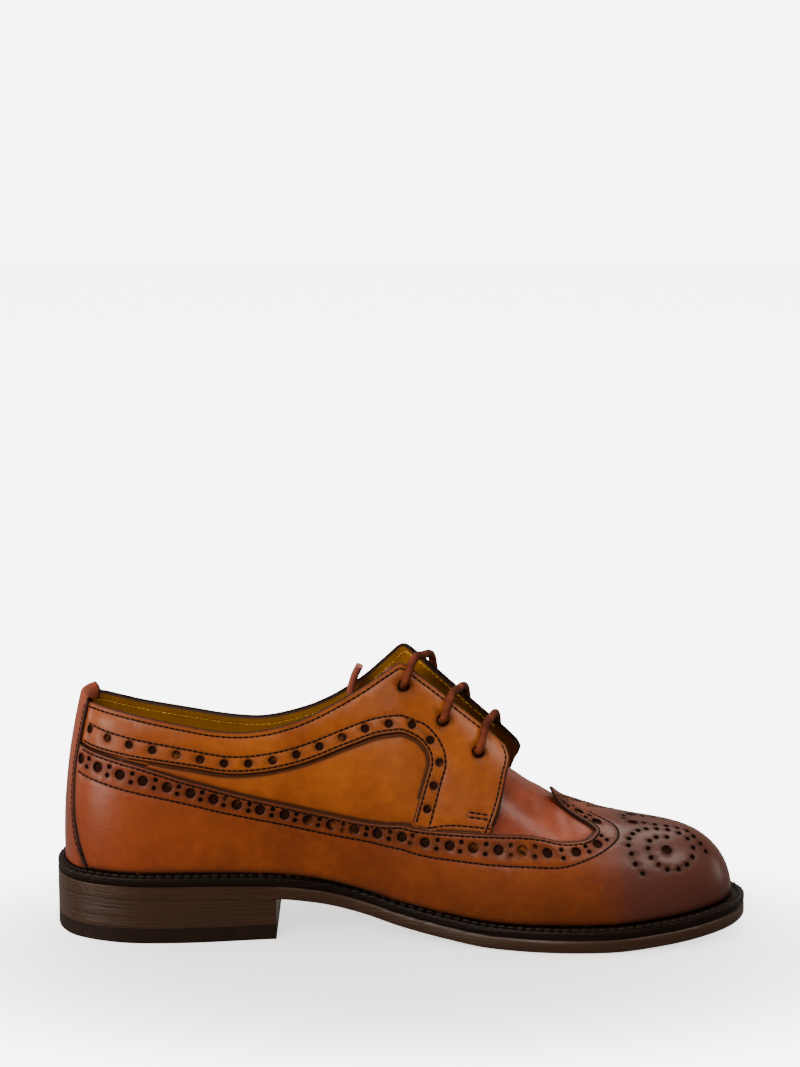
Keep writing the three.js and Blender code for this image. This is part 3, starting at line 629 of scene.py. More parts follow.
def panel(name, outline, outer, inner, lifted=1.0, holes=(), troughs=(), spacing=2.6, seam=None,
          underside=False, shaping=None):
    """Sheet of leather over the last. Its outline and holes are cut edges with softened rims; a
    trough is a line that the sheet dips along and is darkened along as painted shade. Holes are (row,
    rib, radius)."""
    drawing = Drawing(lifted, holes)
    on_seam = np.zeros(len(outline), bool) if seam is None else np.abs(outline[:, 0] - seam) < 1e-6
    rim = drawing.add_rims(outline, on_seam)
    hole_rims = [drawing.add_hole(number, *hole) for number, hole in enumerate(holes)]
    for line, depth, width, mark in troughs:
        drawing.add_broken(line, depth, mark)
        for hand in (-1, 1):
            drawing.add_broken(beside(line, hand * width, lifted), 0, 0.12)
    drawing.add_grid(outline, spacing)
    made, faces, drawn, (drop, mark, hole) = drawing.joined(outline)
    count = len(made)
    shape = shaping(made[:, 0], made[:, 1]) if shaping else 0
    top = laid(made, at_points(outer, made) - drop + shape, lifted)
    bottom = laid(made, at_points(inner, made), lifted)
    corner_hole = hole[faces]
    in_hole = (corner_hole[:, 0] >= 0) & (corner_hole == corner_hole[:, :1]).all(1)
    sheet = [tuple(face) for face in faces[~in_hole]]
    kinds = [LEATHER_FACE] * len(sheet)
    where = {int(number): i for i, number in reversed(list(enumerate(drawn))) if number >= 0}
    for loop in [rim, *hole_rims]:
        for a, b in zip(loop, loop[1:] + loop[:1]):
            sewn = loop is rim and on_seam[a] and on_seam[b]
            if a in where and b in where and not sewn:
                p, q = where[a], where[b]
                sheet.append((q, p, count + p, count + q))
                kinds.append(CUT_FACE if loop is rim else HOLE_FACE)
    # Each hole is closed below by a disc in the hole material, painted shade
    lower = [(faces[in_hole], HOLE_FACE)]
    if underside:
        lower.append((faces[~in_hole][:, ::-1], LINING_FACE))
    for below, kind in lower:
        sheet += [tuple(face + count) for face in below]
        kinds += [kind] * len(below)
    used = np.array(sorted({i for face in sheet for i in face}))
    renumber = np.full(2 * count, -1)
    renumber[used] = np.arange(len(used))
    sheet = [tuple(int(renumber[i]) for i in face) for face in sheet]
    piece = mesh_piece(name, np.concatenate([top, bottom])[used], sheet, 50,
                       np.concatenate([mark, np.ones(count)])[used], kinds)
    if seam is not None:
        shell = bmesh.new()
        shell.from_mesh(piece.data)
        bmesh.ops.remove_doubles(shell, verts=shell.verts, dist=1e-6)
        shell.to_mesh(piece.data)
        shell.free()
    return piece


STITCH_PITCH, STITCH_LENGTH, STITCH_WIDTH, STITCH_HEIGHT = 2.2, 1.85, 0.95, 0.32


def stitch_row(line, lifted, out):
    """Thread lying on the surface, one short bead for each stitch"""
    line = smooth_run(line, STITCH_PITCH, 1.0 if callable(lifted) else lifted)
    spots = laid(line, at_points(out, line), lifted)
    outward = grid_directions(line[:, 0], line[:, 1], at_points(lifted, line))[2]
    return beads(spots, outward, STITCH_LENGTH, STITCH_WIDTH, STITCH_HEIGHT)


def row_faces(rows, wide, looped=True, joined=False):
    """Faces between rows of points; each row may be a loop, and the last may join the first"""
    faces = []
    for i in range(rows if joined else rows - 1):
        for j in range(wide if looped else wide - 1):
            p, q = i * wide + j, i * wide + (j + 1) % wide
            r = (i + 1) % rows * wide
            faces.append((p, q, r + (j + 1) % wide, r + j))
    return faces


def beads(spots, outward, length, width, height):
    """One bead between each two spots in a row"""
    places, faces = [], []
    for a, b, n in zip(spots, spots[1:], outward):
        way = b - a
        way /= max(np.linalg.norm(way), 1e-9)
        across = np.cross(n, way)
        middle = (a + b) / 2
        start = len(places)
        for along, girth in ((-0.5, 0.35), (-0.3, 0.9), (0.3, 0.9), (0.5, 0.35)):
            for side, up in ((-1, -0.6), (-0.7, 0.6), (0, 1), (0.7, 0.6), (1, -0.6)):
                places.append(middle + way * along * length * MM
                              + across * side * width / 2 * girth * MM
                              + n * up * height * girth * MM)
        faces += [(start + p, start + r, start + s, start + q) for p, q, s, r in row_faces(4, 5, False)]
        faces.append(tuple(start + j for j in range(5)))
        faces.append(tuple(start + 15 + j for j in range(4, -1, -1)))
    return places, faces


def thread_piece(name, parts, material):
    """All rows of stitches of one kind as one piece"""
    places, faces = [], []
    for some_places, some_faces in parts:
        faces += [tuple(i + len(places) for i in f) for f in some_faces]
        places += list(some_places)
    return dress(mesh_piece(name, places, faces, 80), [material], "upper_leather")


def leather(name, light, deep, edge_dye_and_shade_colour, rough=0.36, coat=0.1, toe=None, back=None):
    """Smooth waxed calf: cloudy colour, fine grain, darker rims from dyed cut edges and painted shade,
    and where asked a burnished toe, painted shade low down and a painted pinkish sheen at the heel
    """
    finish = Finish(name)
    cloud = finish.noise(0.035, 4).between(0.3, 0.75)
    fleck = finish.noise(0.004, 3).between(0.35, 0.8)
    base = finish.mix(cloud * 0.7 + fleck * 0.3, deep, light)
    if back:
        # Painted highlight: a pinkish sheen towards the heel
        base = finish.mix((0 - finish.axis("X")).between(0.05, 0.135) * 0.6, base, back)
    if toe:
        reach = finish.axis("X") + finish.axis("Z") * 0.25
        # Painted shade: darker towards the bottom of the sides, more so towards the front
        low = (0 - finish.axis("Z")).between(-0.045, -0.012) * finish.axis("X").between(-0.06, 0.05)
        base = finish.mix(low * 0.5, base, edge_dye_and_shade_colour)
        base = finish.mix(reach.between(0.078, 0.098) * 0.94, base, toe)
    # Rim darkness: dyed cut edges, plus painted shade in the stitch grooves and painted shadow beside
    # overlapping edges
    rim = finish.mark("edge")
    base = finish.mix(rim ** 1.2 * 0.95, base, edge_dye_and_shade_colour)
    grain = finish.noise(0.0009, 5)
    ripple = finish.noise(0.012, 3)
    pores = finish.bump(grain, 0.00025, 0.28)
    return finish.show(
        colour=base, rough=finish.noise(0.02, 3) * 0.16 + rim * 0.35 + (rough - 0.08),
        coat=coat * 1.3 * (1 - rim), coat_rough=0.3, shine=0.1,
        bump=finish.bump(ripple, 0.0012, 0.25, pores))


def plain(name, shade, rough, spread=0.25):
    """A matt material with slightly uneven colour"""
    finish = Finish(name)
    cloud = finish.noise(0.01, 3).between(0.3, 0.75)
    darker = tuple(c * (1 - spread) for c in shade[:3]) + (1,)
    return finish.show(colour=finish.mix(cloud, darker, shade), rough=rough, shine=0.08,
                       bump=finish.bump(finish.noise(0.0008, 4), 0.0002, 0.4))


# The tan's back colour is a painted pinkish sheen towards the heel
TAN = leather("tan_leather", colour(132, 68, 16), colour(100, 46, 8), colour(22, 9, 4),
              back=colour(112, 50, 24))
CUT_EDGE = plain("cut_edge", colour(34, 15, 7), 0.6)


def painted_hole_shade():
    """Dark walls and bottoms of the holes: dyed cut edges and painted shade over the ply below, with
    that ply's tan showing in some
    """
    finish = Finish("painted_hole_shade")
    shown = finish.noise(0.013, 2).between(0.56, 0.66) * finish.noise(0.0016, 2).between(0.35, 0.6)
    return finish.show(colour=finish.mix(shown, colour(28, 10, 4), colour(92, 48, 18)),
                       rough=0.8, shine=0.05)


HOLE_PAINTED_SHADE = painted_hole_shade()
LINING = plain("lining_leather", colour(124, 82, 16), 0.6, 0.18)
THREAD = plain("brown_thread", colour(12, 5, 3), 0.8)
LIGHT_THREAD = plain("yellow_thread", colour(190, 146, 56), 0.6)


OUTER_STRETCH, STRETCH_FROM, FACING_ROW = 1.09, 5.0, 6.6
SEAM_ROW, BAND_END_UP = 0.02, 0.16
EYELET_RADIUS, BAND_WIDTH, BAND_FLARE, FLARE_FROM, FLARE_ROWS = 2.35, 6.9, 2.2, 3.2, 2.2
TOP_STITCH, FRONT_STITCH, BAND_STITCH, FRONT_STITCH_END = 2.2, 1.9, 1.5, 0.25
OVER_CAP, BAND_FOOT_ROW, TACK_RISES = 0.022, 5.96, (0.052, 0.07)
TACK = table("row up", (6.6, 0.325), (6.9, 0.36))
# Troughs: depth, width and darkness; the darkness is painted shade in stitch grooves and painted shadow
# beside a ply's edge
STITCH_TROUGH_SHADE, CAP_STEP_SHADOW, UNDERLAY_STEP_SHADOW = (0.22, 0.7, 0.8), (0.2, 1.1, 1.0), (0.2, 1.2, 1.0)
THREAD_SUNK, STEP_BESIDE, QUARTER_PLY = 0.12, 0.6, 0.92


def on_side(rows, ups, outer_side):
    """A line on one side, from rows and heights over that side's feather line"""
    return np.stack([rows, rib_at(ups, outer_side)], 1)


def side_line(line, outer_side):
    """A line drawn for the inner side, or its mirror stretched forward on the outer side"""
    rows = line["row"]
    if outer_side:
        rows = np.where(rows > STRETCH_FROM, STRETCH_FROM + (rows - STRETCH_FROM) * OUTER_STRETCH, rows)
    return on_side(rows, line["up"], outer_side)


def front_line(outer_side, lowest):
    """The facing's front edge, from a height on up"""
    rows = FRONT_EDGE["row"] * (LATERAL_FRONT if outer_side else 1)
    return on_side(rows, FRONT_EDGE["up"], outer_side)[FRONT_EDGE["up"] > lowest]


def top_line(outer_side):
    """The topline from the back seam to the facing's corner"""
    rows = TOPLINE["row"]
    if outer_side:
        rows = np.where(rows > FACING_ROW, rows * LATERAL_FRONT, rows)
    return on_side(rows, TOPLINE["lateral" if outer_side else "medial"], outer_side)


def closed_line(*runs):
    """Runs joined end to end in one closed outline, without the repeated corners"""
    return np.concatenate([run[:-1] for run in runs])


def quarter_outline(outer_side, banded):
    """From the back seam along the lower edge, up the front edge, back along the topline"""
    lowest = BAND_END_UP if banded else FOOT
    front = front_line(outer_side, lowest + 0.05)
    top = top_line(outer_side)[::-1]
    top[-1, 0] = SEAM_ROW
    toe_foot = np.array([front[0][0] - 0.1, rib_at(lowest, outer_side)])
    if banded:
        edge = side_line(BAND_EDGE, outer_side)
        edge[0, 0] = SEAM_ROW
        lower = [smooth_run(edge), smooth_run([edge[-1], toe_foot])]
    else:
        lower = [smooth_run([np.array([SEAM_ROW, rib_at(FOOT, outer_side)]), toe_foot])]
    outline = closed_line(
        *lower, smooth_run(np.concatenate([[toe_foot], front])),
        smooth_run(np.concatenate([front[-1:], top])), smooth_run([top[-1], lower[0][0]]))
    return outline[::-1] if outer_side else outline


def wider_at_back(line):
    """How much wider the punched band grows towards the heel"""
    return BAND_FLARE * np.clip((FLARE_FROM - line[:, 0]) / FLARE_ROWS, 0, 1)


def quarter_stitch_lines(band, outer_side, hand):
    """Along the topline and the front edge, along both sides of the band, and over the cap's edge
    a row that ends in a double tack"""
    near_cap = on_side(WING_TOP["row"], WING_TOP["up"] + OVER_CAP, outer_side)[8:11]
    near_cap[0, 0] = BAND_FOOT_ROW
    lines = [beside(smooth_run(top_line(outer_side)[1:]), -hand * TOP_STITCH),
             beside(smooth_run(front_line(outer_side, FRONT_STITCH_END)), hand * FRONT_STITCH),
             beside(band, hand * BAND_STITCH), beside(band, hand * (BAND_WIDTH + wider_at_back(band))),
             smooth_run(near_cap)]
    lines += [smooth_run(on_side(TACK["row"], TACK["up"] + rise, outer_side)) for rise in TACK_RISES]
    return lines


quarter_threads, lining_threads = [], []
for outer_side, side in ((False, "inner"), (True, "outer")):
    hand = -1 if outer_side else 1
    band = smooth_run(side_line(BAND_EDGE, outer_side)[1:-1])
    lines = quarter_stitch_lines(band, outer_side, hand)
    cap_edge = smooth_run(on_side(WING_TOP["row"], WING_TOP["up"], outer_side)[:11])[::-1]
    # The quarter dips and darkens just beside the cap's top edge: a painted shadow of that edge
    below_cap_edge = beside(cap_edge, -hand * STEP_BESIDE)
    band_middle = beside(band, hand * (BAND_HOLE_IN + 1.3 * wider_at_back(band)))
    holes = [(*spot, BAND_HOLE_RADIUS) for spot in smooth_run(band_middle[1::6], BAND_HOLE_PITCH)]
    for row, up in zip(EYELETS["lateral" if outer_side else "medial"], EYELETS["up"]):
        holes.append((row, rib_at(up, outer_side), EYELET_RADIUS))
    upper_panel = panel(
        f"{side}_quarter", quarter_outline(outer_side, True), QUARTER_OUTER,
        QUARTER_OUTER - QUARTER_PLY, 1.0, holes,
        [(line, *STITCH_TROUGH_SHADE) for line in lines] + [(below_cap_edge, *CAP_STEP_SHADOW)])
    dress(upper_panel, [TAN, CUT_EDGE, HOLE_PAINTED_SHADE], "upper_leather")
    if not outer_side:
        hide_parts("upper")
    # The plain panel below dips and darkens beside the band's edge and the cap's edge: painted shadow
    # of those edges
    lower_panel = panel(
        f"{side}_quarter_underlay", quarter_outline(outer_side, False), QUARTER_OUTER - 1.0,
        QUARTER_INNER, 1.0, underside=True,
        troughs=[(line, *UNDERLAY_STEP_SHADOW)
                 for line in (beside(band[:-6], -hand * STEP_BESIDE), below_cap_edge)])
    dress(lower_panel, [TAN, CUT_EDGE, HOLE_PAINTED_SHADE, LINING], "upper_leather")
    quarter_threads += [stitch_row(line, 1.0, QUARTER_OUTER - THREAD_SUNK) for line in lines]
    lining_threads.append(stitch_row(lines[0], 1.0, QUARTER_INNER - 0.1))
thread_piece("quarter_stitches", quarter_threads, THREAD)
thread_piece("lining_stitches", lining_threads, LIGHT_THREAD)


# Vamp: the reddish forepart under the wing cap, one piece over the crest, its throat under the
# quarters, with the soft creases that a foot bends into it.
CREASES = table(
    "row up reach depth width",
    (7.55, 0.86, 0.30, 0.35, 0.10), (7.9, 0.8, 0.26, 0.3, 0.09), (8.2, 0.72, 0.2, 0.22, 0.08))


def vamp_creases(row, rib):
    """How far the leather dips in its creases"""
    up = np.where(rib <= 1, rib, 2 - rib)
    shape = np.zeros(len(row))
    for where, level, reach, depth, width in zip(*CREASES.values()):
        line = where + 0.25 * (1 - up)
        shape -= depth * np.exp(-((row - line) / width) ** 2) * np.exp(-((up - level) / reach) ** 2)
    return shape


def mirrored(line):
    """The same line on the other side of the crest"""
    return np.stack([line[:, 0], 2 - line[:, 1]], 1)


VAMP_BACK, VAMP_FRONT, VAMP_FOOT, VAMP_THROAT, VAMP_PLY = 6.5, 9.3, 0.22, 6.95, 1.8
back, front = (VAMP_BACK, VAMP_FOOT), (VAMP_FRONT, VAMP_FOOT)
far_back, far_front = (VAMP_BACK, 2 - VAMP_FOOT), (VAMP_FRONT, 2 - VAMP_FOOT)
vamp_outline = closed_line(*(smooth_run(run, 2, 0) for run in (
    [back, front], [front, far_front], [far_front, far_back], [far_back, (VAMP_THROAT, 1), back])))
WINDOW_SHIFT = np.array([-0.03, 0.004])
window_edge = smooth_run(on_side(WING_TOP["row"], WING_TOP["up"], False)[12:-1] + WINDOW_SHIFT, 1.5, 0)
RED_TAN = leather("red_tan_leather", colour(120, 54, 32), colour(84, 34, 18), colour(22, 9, 5),
                  0.32, 0.1)
# The vamp dips and darkens along the cap's window edge: a painted shadow of that edge
vamp = panel("vamp", vamp_outline, VAMP_OUTER, VAMP_OUTER - VAMP_PLY, 0.0, spacing=2.2,
             underside=True, shaping=vamp_creases,
             troughs=[(line, 0.15, 1.3, 1.0) for line in (window_edge, mirrored(window_edge))])
dress(vamp, [RED_TAN, CUT_EDGE, HOLE_PAINTED_SHADE, LINING], "upper_leather")


# Wing cap: one long sheet round the toe and along both sides to the back strip, punched along its
# top edge and on the toe, and stitched down in two rows on each side. The toe is burnished dark.
OVERLAY_PLY, STEP_ON_QUARTER, CAP_THICKNESS = 1.0, 1.2, 1.1
WING_LOWER = table(
    "row up",
    (1.0, 0.276), (1.63, 0.256), (3.01, 0.205), (3.43, 0.178), (4, 0.15), (4.67, 0.134),
    (5.18, 0.14), (5.79, 0.155), (6.59, 0.208), (7.42, 0.276), (8.03, 0.35), (8.43, 0.45),
    (8.72, 0.555), (8.94, 0.677), (8.91, 0.828), (8.51, 0.948))
STRIP_EDGE = table("up row", (0.0, 1.3), (0.075, 1.1), (0.152, 0.94), (0.285, 0.84), (0.37, 0.88),
                   (0.482, 0.93))
FADE_START, FADE_ROWS = 7.29, 0.85


def on_quarter(row, rib):
    """1 where the cap lies on the quarters, falling to 0 on the vamp"""
    fade = np.clip((row - FADE_START) / FADE_ROWS, 0, 1)
    return 1 - fade * fade * (3 - 2 * fade)


def cap_outer(row, rib):
    """Level of the cap's face, which steps down from the quarters to the vamp"""
    return VAMP_OUTER + CLEARANCE + OVERLAY_PLY + STEP_ON_QUARTER * on_quarter(row, rib)


def cap_inner(row, rib):
    return cap_outer(row, rib) - CAP_THICKNESS


UNDER_STRIP, BACK_CORNER, CAP_STITCH = 0.03, (0.9, 0.361), 1.5
strip_side = on_side(STRIP_EDGE["row"] + UNDER_STRIP, STRIP_EDGE["up"], False)[:-1][::-1]
strip_side[0] = BACK_CORNER
strip_side[-1, 1] = FOOT
wing_side = on_side(WING_TOP["row"], WING_TOP["up"], False)
wing_side[0] = strip_side[0]
peak_run = smooth_run(wing_side, 1.5, 0.5)
strip_run = smooth_run(strip_side, 1.5, 1.0)
foot_run = smooth_run([(strip_side[-1][0], FOOT), (TOE_ROW, FOOT)], 1.8, 0)
toe_up = np.stack([np.full(50, float(TOE_ROW)), np.linspace(FOOT, 1, 50)], 1)
wing_outline = closed_line(
    strip_run, foot_run, toe_up, mirrored(toe_up)[::-1], mirrored(foot_run)[::-1],
    mirrored(strip_run)[::-1], mirrored(peak_run), peak_run[::-1])

lower_line = on_side(WING_LOWER["row"], WING_LOWER["up"], False)
wing_stitch_lines = [beside(peak_run[2:-2], -CAP_STITCH, on_quarter), smooth_run(lower_line, 1.5, 0.5)]
wing_stitch_lines += [mirrored(line) for line in wing_stitch_lines]

LARGE, SMALL, TOE_SMALL, HOLE_PITCH = 1.9, 0.85, 0.95, 4.6
STEPS, NEAR_CREST, LOW_END, TOE_CENTRE = 16, 0.985, (8.3, 1.0), (9.77, 0.545, 2.0)
wing_holes = []
low_side = smooth_run(np.concatenate([lower_line, [LOW_END]]), 1.0, 0.5)
low_spots = laid(low_side, 0, on_quarter)
top_side = smooth_run(wing_side, HOLE_PITCH / STEPS, 0.5)
for number, point in enumerate(top_side[11:-4:STEPS]):
    here = laid(point[None], 0, on_quarter)
    partner = low_side[int(np.argmin(np.linalg.norm(low_spots - here, axis=1)))]
    if number % 2 == 0:
        wing_holes.append((*((point + partner) / 2), LARGE))
    else:
        for share in (0.34, 0.66):
            wing_holes.append((*(point * (1 - share) + partner * share), SMALL))
MEDALLION = table(
    "row up",
    (9.96, 0.68), (9.7, 0.685), (9.51, 0.645), (9.42, 0.568), (9.42, 0.485), (9.51, 0.415),
    (9.64, 0.372), (9.84, 0.362), (10.05, 0.388), (10.3, 0.445), (10.52, 0.53), (10.62, 0.633),
    (10.56, 0.718), (10.28, 0.782), (9.91, 0.805), (9.61, 0.8), (9.39, 0.77), (9.24, 0.723),
    (9.13, 0.665), (9.08, 0.595), (9.1, 0.52), (9.13, 0.432), (9.22, 0.357), (9.28, 0.973),
    (9.75, 0.912), (10.09, 0.888), (10.57, 0.855), (10.97, 0.8), (11.2, 0.723), (11.03, 0.64),
    (10.93, 0.547), (10.87, 0.463))
wing_holes.append(TOE_CENTRE)
wing_holes += [(row, up, TOE_SMALL) for row, up in zip(*MEDALLION.values())]
wing_holes.append((9.43, 0.912, LARGE))
wing_holes += [(row, 2 - rib, radius) for row, rib, radius in wing_holes if rib < NEAR_CREST]

# The cap's toe colour is its burnished toe; its back colour is a painted pinkish sheen towards the heel
CAP_LEATHER = leather("cap_leather", colour(116, 53, 15), colour(82, 34, 10), colour(20, 8, 4),
                      0.34, 0.12, toe=colour(58, 28, 22), back=colour(108, 46, 24))
wing_cap = panel("wing_cap_leather", wing_outline, cap_outer, cap_inner, on_quarter, wing_holes,
                 [(line, *STITCH_TROUGH_SHADE) for line in wing_stitch_lines], 2.4, seam=float(TOE_ROW))
dress(wing_cap, [CAP_LEATHER, CUT_EDGE, HOLE_PAINTED_SHADE], "upper_leather", "wing_cap")
thread_piece("wing_stitches",
             [stitch_row(line, on_quarter, lambda row, rib: cap_outer(row, rib) - THREAD_SUNK)
              for line in wing_stitch_lines], THREAD)


# Back strip: a narrow piece of calf over the back seam that widens at the welt and folds over the
# collar, stitched down along both edges.
STRIP_OUT, STRIP_PLY, FOLDED_PLY = 0.6, 1.1, 0.3
STRIP_STITCH_IN, STRIP_STITCH_FOOT, STRIP_STITCH_OUT = 0.09, 0.03, 0.52
FOLD = table("up out", (0.504, 0.45), (0.509, -0.1), (0.511, -1.2), (0.51, -2.4), (0.505, -3.3),
             (0.47, -3.5))


def back_strip_mesh():
    """Grid over the heel from one edge of the strip to the other, folded over the collar"""
    levels = [(up, STRIP_OUT) for up in np.linspace(FOOT, 0.497, 40)]
    levels += list(zip(*FOLD.values()))
    shares = np.concatenate([[-1, -0.975, -0.93], np.linspace(-0.85, 0.85, 19), [0.93, 0.975, 1]])
    drops = np.concatenate([[0.35, 0.08, 0], np.zeros(19), [0, 0.08, 0.35]])
    marks = np.concatenate([[1, 1, 0.55], np.zeros(19), [0.55, 1, 1]])
    edge = curve(STRIP_EDGE["up"], STRIP_EDGE["row"])
    places, shades = [], []
    for up, out in levels:
        folded = out < STRIP_OUT - 0.1
        rows = np.abs(shares) * edge(up)
        ribs = np.where(shares < 0, up, 2 - up)
        top = surface(rows, ribs, out - (0 if folded else drops), 1.0)
        low = surface(rows, ribs, out - (FOLDED_PLY if folded else STRIP_PLY), 1.0)
        places += [low[0], *top, low[-1]]
        shades += [1, *marks, 1]
    faces = row_faces(len(levels), len(shares) + 2, looped=False)
    return mesh_piece("back_strip_leather", places, faces, 60, shades)


dress(back_strip_mesh(), [RED_TAN], "upper_leather", "back_strip")
strip_threads = []
for outer_side in (False, True):
    ups = np.maximum(STRIP_EDGE["up"], STRIP_STITCH_FOOT)
    line = on_side(STRIP_EDGE["row"] - STRIP_STITCH_IN, ups, outer_side)
    strip_threads.append(stitch_row(line, 1.0, STRIP_STITCH_OUT))
thread_piece("back_strip_stitches", strip_threads, THREAD)


# Tongue: a soft tan flap of calf under the facings. It is as wide as the gap and its two edges
# lie behind them, held down by the laces.
def tongue_mesh():
    """A closed slab between two layers of the surface"""
    outer = VAMP_OUTER - VAMP_PLY - 2 * CLEARANCE
    ribs = np.linspace(0.62, 1.38, 40)
    rows = np.linspace(5.5, 7.4, 20)
    places = []
    for row in rows:
        places += [*surface(row, ribs, outer), *surface(row, ribs[::-1], outer - VAMP_PLY)]
    wide = 2 * len(ribs)
    faces = [(p, r, s, q) for p, q, s, r in row_faces(len(rows), wide)]
    faces.append(tuple(range(wide)))
    faces.append(tuple(range((len(rows) - 1) * wide, len(rows) * wide))[::-1])
    return mesh_piece("tongue_leather", places, faces, 60)


dress(tongue_mesh(), [TAN], "upper_leather", "tongue")


# Welt and outsole: dark edged leather right round the shoe, the welt pressed with close wheel marks
# and sewn to the sole with one row of thread.
WELT_WIDTH, WELT_SEAT, WELT_THICKNESS, SOLE_THICKNESS = 4.5, 4.2, 3.4, 5.2
REACH = table(
    "at medial lateral",
    (0, 0.8, 0.8), (0.18, 0.68, 0.68), (0.33, 0.5, 0.6), (0.43, 0.3, 0.6), (0.544, 0.6, 0.7),
    (0.66, 0.9, 0.85), (1, 1, 1))
reach_of = {side: curve(REACH["at"], REACH[side]) for side in ("medial", "lateral")}


def welt_reach(turn):
    """How far the welt stands out past the feather line"""
    x = (plan(-np.abs(turn))[:, 0] + plan(np.abs(turn))[:, 0]) / 2 / UPPER_LENGTH
    return WELT_WIDTH * np.where(turn <= 0, reach_of["medial"](x), reach_of["lateral"](x))


def round_turns(step):
    """Places round the foot, evenly spaced along the welt, and how far along each lies"""
    fine = np.linspace(-TOE_ROW, TOE_ROW, 2401)
    run = lengths(plan_out(fine, welt_reach(fine)))
    at = np.linspace(0, run[-1], round(run[-1] / step) + 1)
    return np.interp(at, run, fine)[:-1], at[:-1], run[-1]


def ringed(name, rings, closed):
    """Mesh from rings round the foot; an open one is closed by a face at each end"""
    wide, count = len(rings[0]), len(rings)
    faces = row_faces(count, wide, joined=closed)
    if not closed:
        faces.append(tuple(range(wide))[::-1])
        faces.append(tuple((count - 1) * wide + j for j in range(wide)))
    return mesh_piece(name, np.concatenate(rings), faces, 40)


def foot_ring(turn, out, height):
    """Ring round the foot at a distance from the feather line and a height over it"""
    spots = plan_out(turn, out)
    return placed(spots, seat(spots[:, 0]) + height)


def dark_edge(name, shade, streak, sole=False, shine=0.2):
    """Stained and waxed edge with fine lines along it; the sole's underside is left brown"""
    finish = Finish(name)
    lines = finish.noise(0.004, 4, (0.12, 0.12, 6)).between(0.3, 0.75)
    base = finish.mix(lines, shade, streak)
    if sole:
        flat = Amount(finish, finish.node("ShaderNodeSeparateXYZ", {}, {
            "Vector": finish.node("ShaderNodeNewGeometry").outputs["Normal"]}).outputs["Z"])
        base = finish.mix((0 - flat).between(0.6, 0.9), base, colour(84, 34, 16))
    return finish.show(colour=base, rough=lines * 0.12 + 0.36, shine=shine,
                       bump=finish.bump(lines, 0.0004, 0.25))


DARK_EDGE = dark_edge("dark_sole_edge", colour(36, 20, 11), colour(46, 27, 16), sole=True)
WELT_EDGE = dark_edge("dark_welt", colour(12, 7, 4), colour(20, 12, 8), shine=0.06)
turn, along, girth = round_turns(0.5)
WHEEL_PITCH, WHEEL_POWER = 3.6, 0.6
wave = 0.5 - 0.5 * np.cos(2 * math.pi * along / (girth / round(girth / WHEEL_PITCH)))
notch = 1 - wave ** WHEEL_POWER
reach = welt_reach(turn)
corner = 0.2 * WELT_THICKNESS
WELT_PROFILE = table(
    "inset height notched",
    (0.5 * corner, -WELT_THICKNESS, 0), (0.1, corner - WELT_THICKNESS, 0),
    (0, -0.5 * WELT_THICKNESS, 0), (0.05, -corner, 0.25), (0.35, -0.1, 0.45), (0.9, -0.03, 0.5),
    (1.7, -0.05, 0.25), (2.2, -0.12, 0))
rings = [foot_ring(turn, reach - inset, height - notched * notch)
         for inset, height, notched in zip(*WELT_PROFILE.values())]
rings += [foot_ring(turn, -WELT_SEAT, height) for height in (-0.02, -WELT_THICKNESS)]
dress(ringed("welt_leather", rings, True), [WELT_EDGE], "sole_leather", "welt")
stitch_turn, _, _ = round_turns(WHEEL_PITCH)
sewn = foot_ring(stitch_turn, welt_reach(stitch_turn) - 2.4, 0.02)
sewn = np.concatenate([sewn, sewn[:1]])
thread_piece("welt_stitches", [beads(sewn, np.tile([0.0, 0, 1], (len(sewn), 1)), 3.0, 1.1, 0.55)],
             plain("welt_thread", colour(22, 13, 9), 0.5))

HEEL_LENGTH = 83
turn, _, _ = round_turns(1.6)
reach = welt_reach(turn)
sole_top = -WELT_THICKNESS - CLEARANCE
sole_bottom = sole_top - SOLE_THICKNESS
round_edge = 0.14 * SOLE_THICKNESS


def sole_ring(inset, height):
    """Ring of the sole's edge, rounded in front of the heel and straight over it"""
    behind = np.clip((plan_out(turn, reach)[:, 0] - HEEL_LENGTH + 2) / 4, 0.04, 1) if inset < 1 else 1
    return foot_ring(turn, reach - inset * behind, height)


SOLE_PROFILE = table(
    "inset height",
    (12, sole_bottom), (4, sole_bottom), (1.2, sole_bottom), (round_edge, sole_bottom + 0.1),
    (0.25 * round_edge, sole_bottom + round_edge), (0, sole_bottom + 2 * round_edge),
    (0, sole_top - 1.4 * round_edge), (0.25 * round_edge, sole_top - 0.6 * round_edge),
    (0.8 * round_edge, sole_top), (12, sole_top))
outsole = ringed("outsole_leather", [sole_ring(*at) for at in zip(*SOLE_PROFILE.values())], False)
dress(outsole, [DARK_EDGE], "sole_leather", "outsole")


# Heel: three leather lifts and a rubber top piece, glued level under the sole, trimmed to its
# outline and burnished together as one face.
TOP_PIECE, LIFT_COUNT = 6.0, 3
STACK_TOP = HEEL_HEIGHT + sole_bottom
LIFT_THICKNESS = (STACK_TOP - TOP_PIECE) / LIFT_COUNT


def heel_outline(inset):
    """The sole's outline behind the heel breast"""
    fine = np.linspace(-6, 6, 1201)
    spots = plan_out(fine, welt_reach(fine) - inset)
    behind = spots[spots[:, 0] < HEEL_LENGTH - inset]
    run = lengths(behind)
    at = np.linspace(0, run[-1], 110)
    return np.stack([np.interp(at, run, behind[:, k]) for k in (0, 1)], 1)


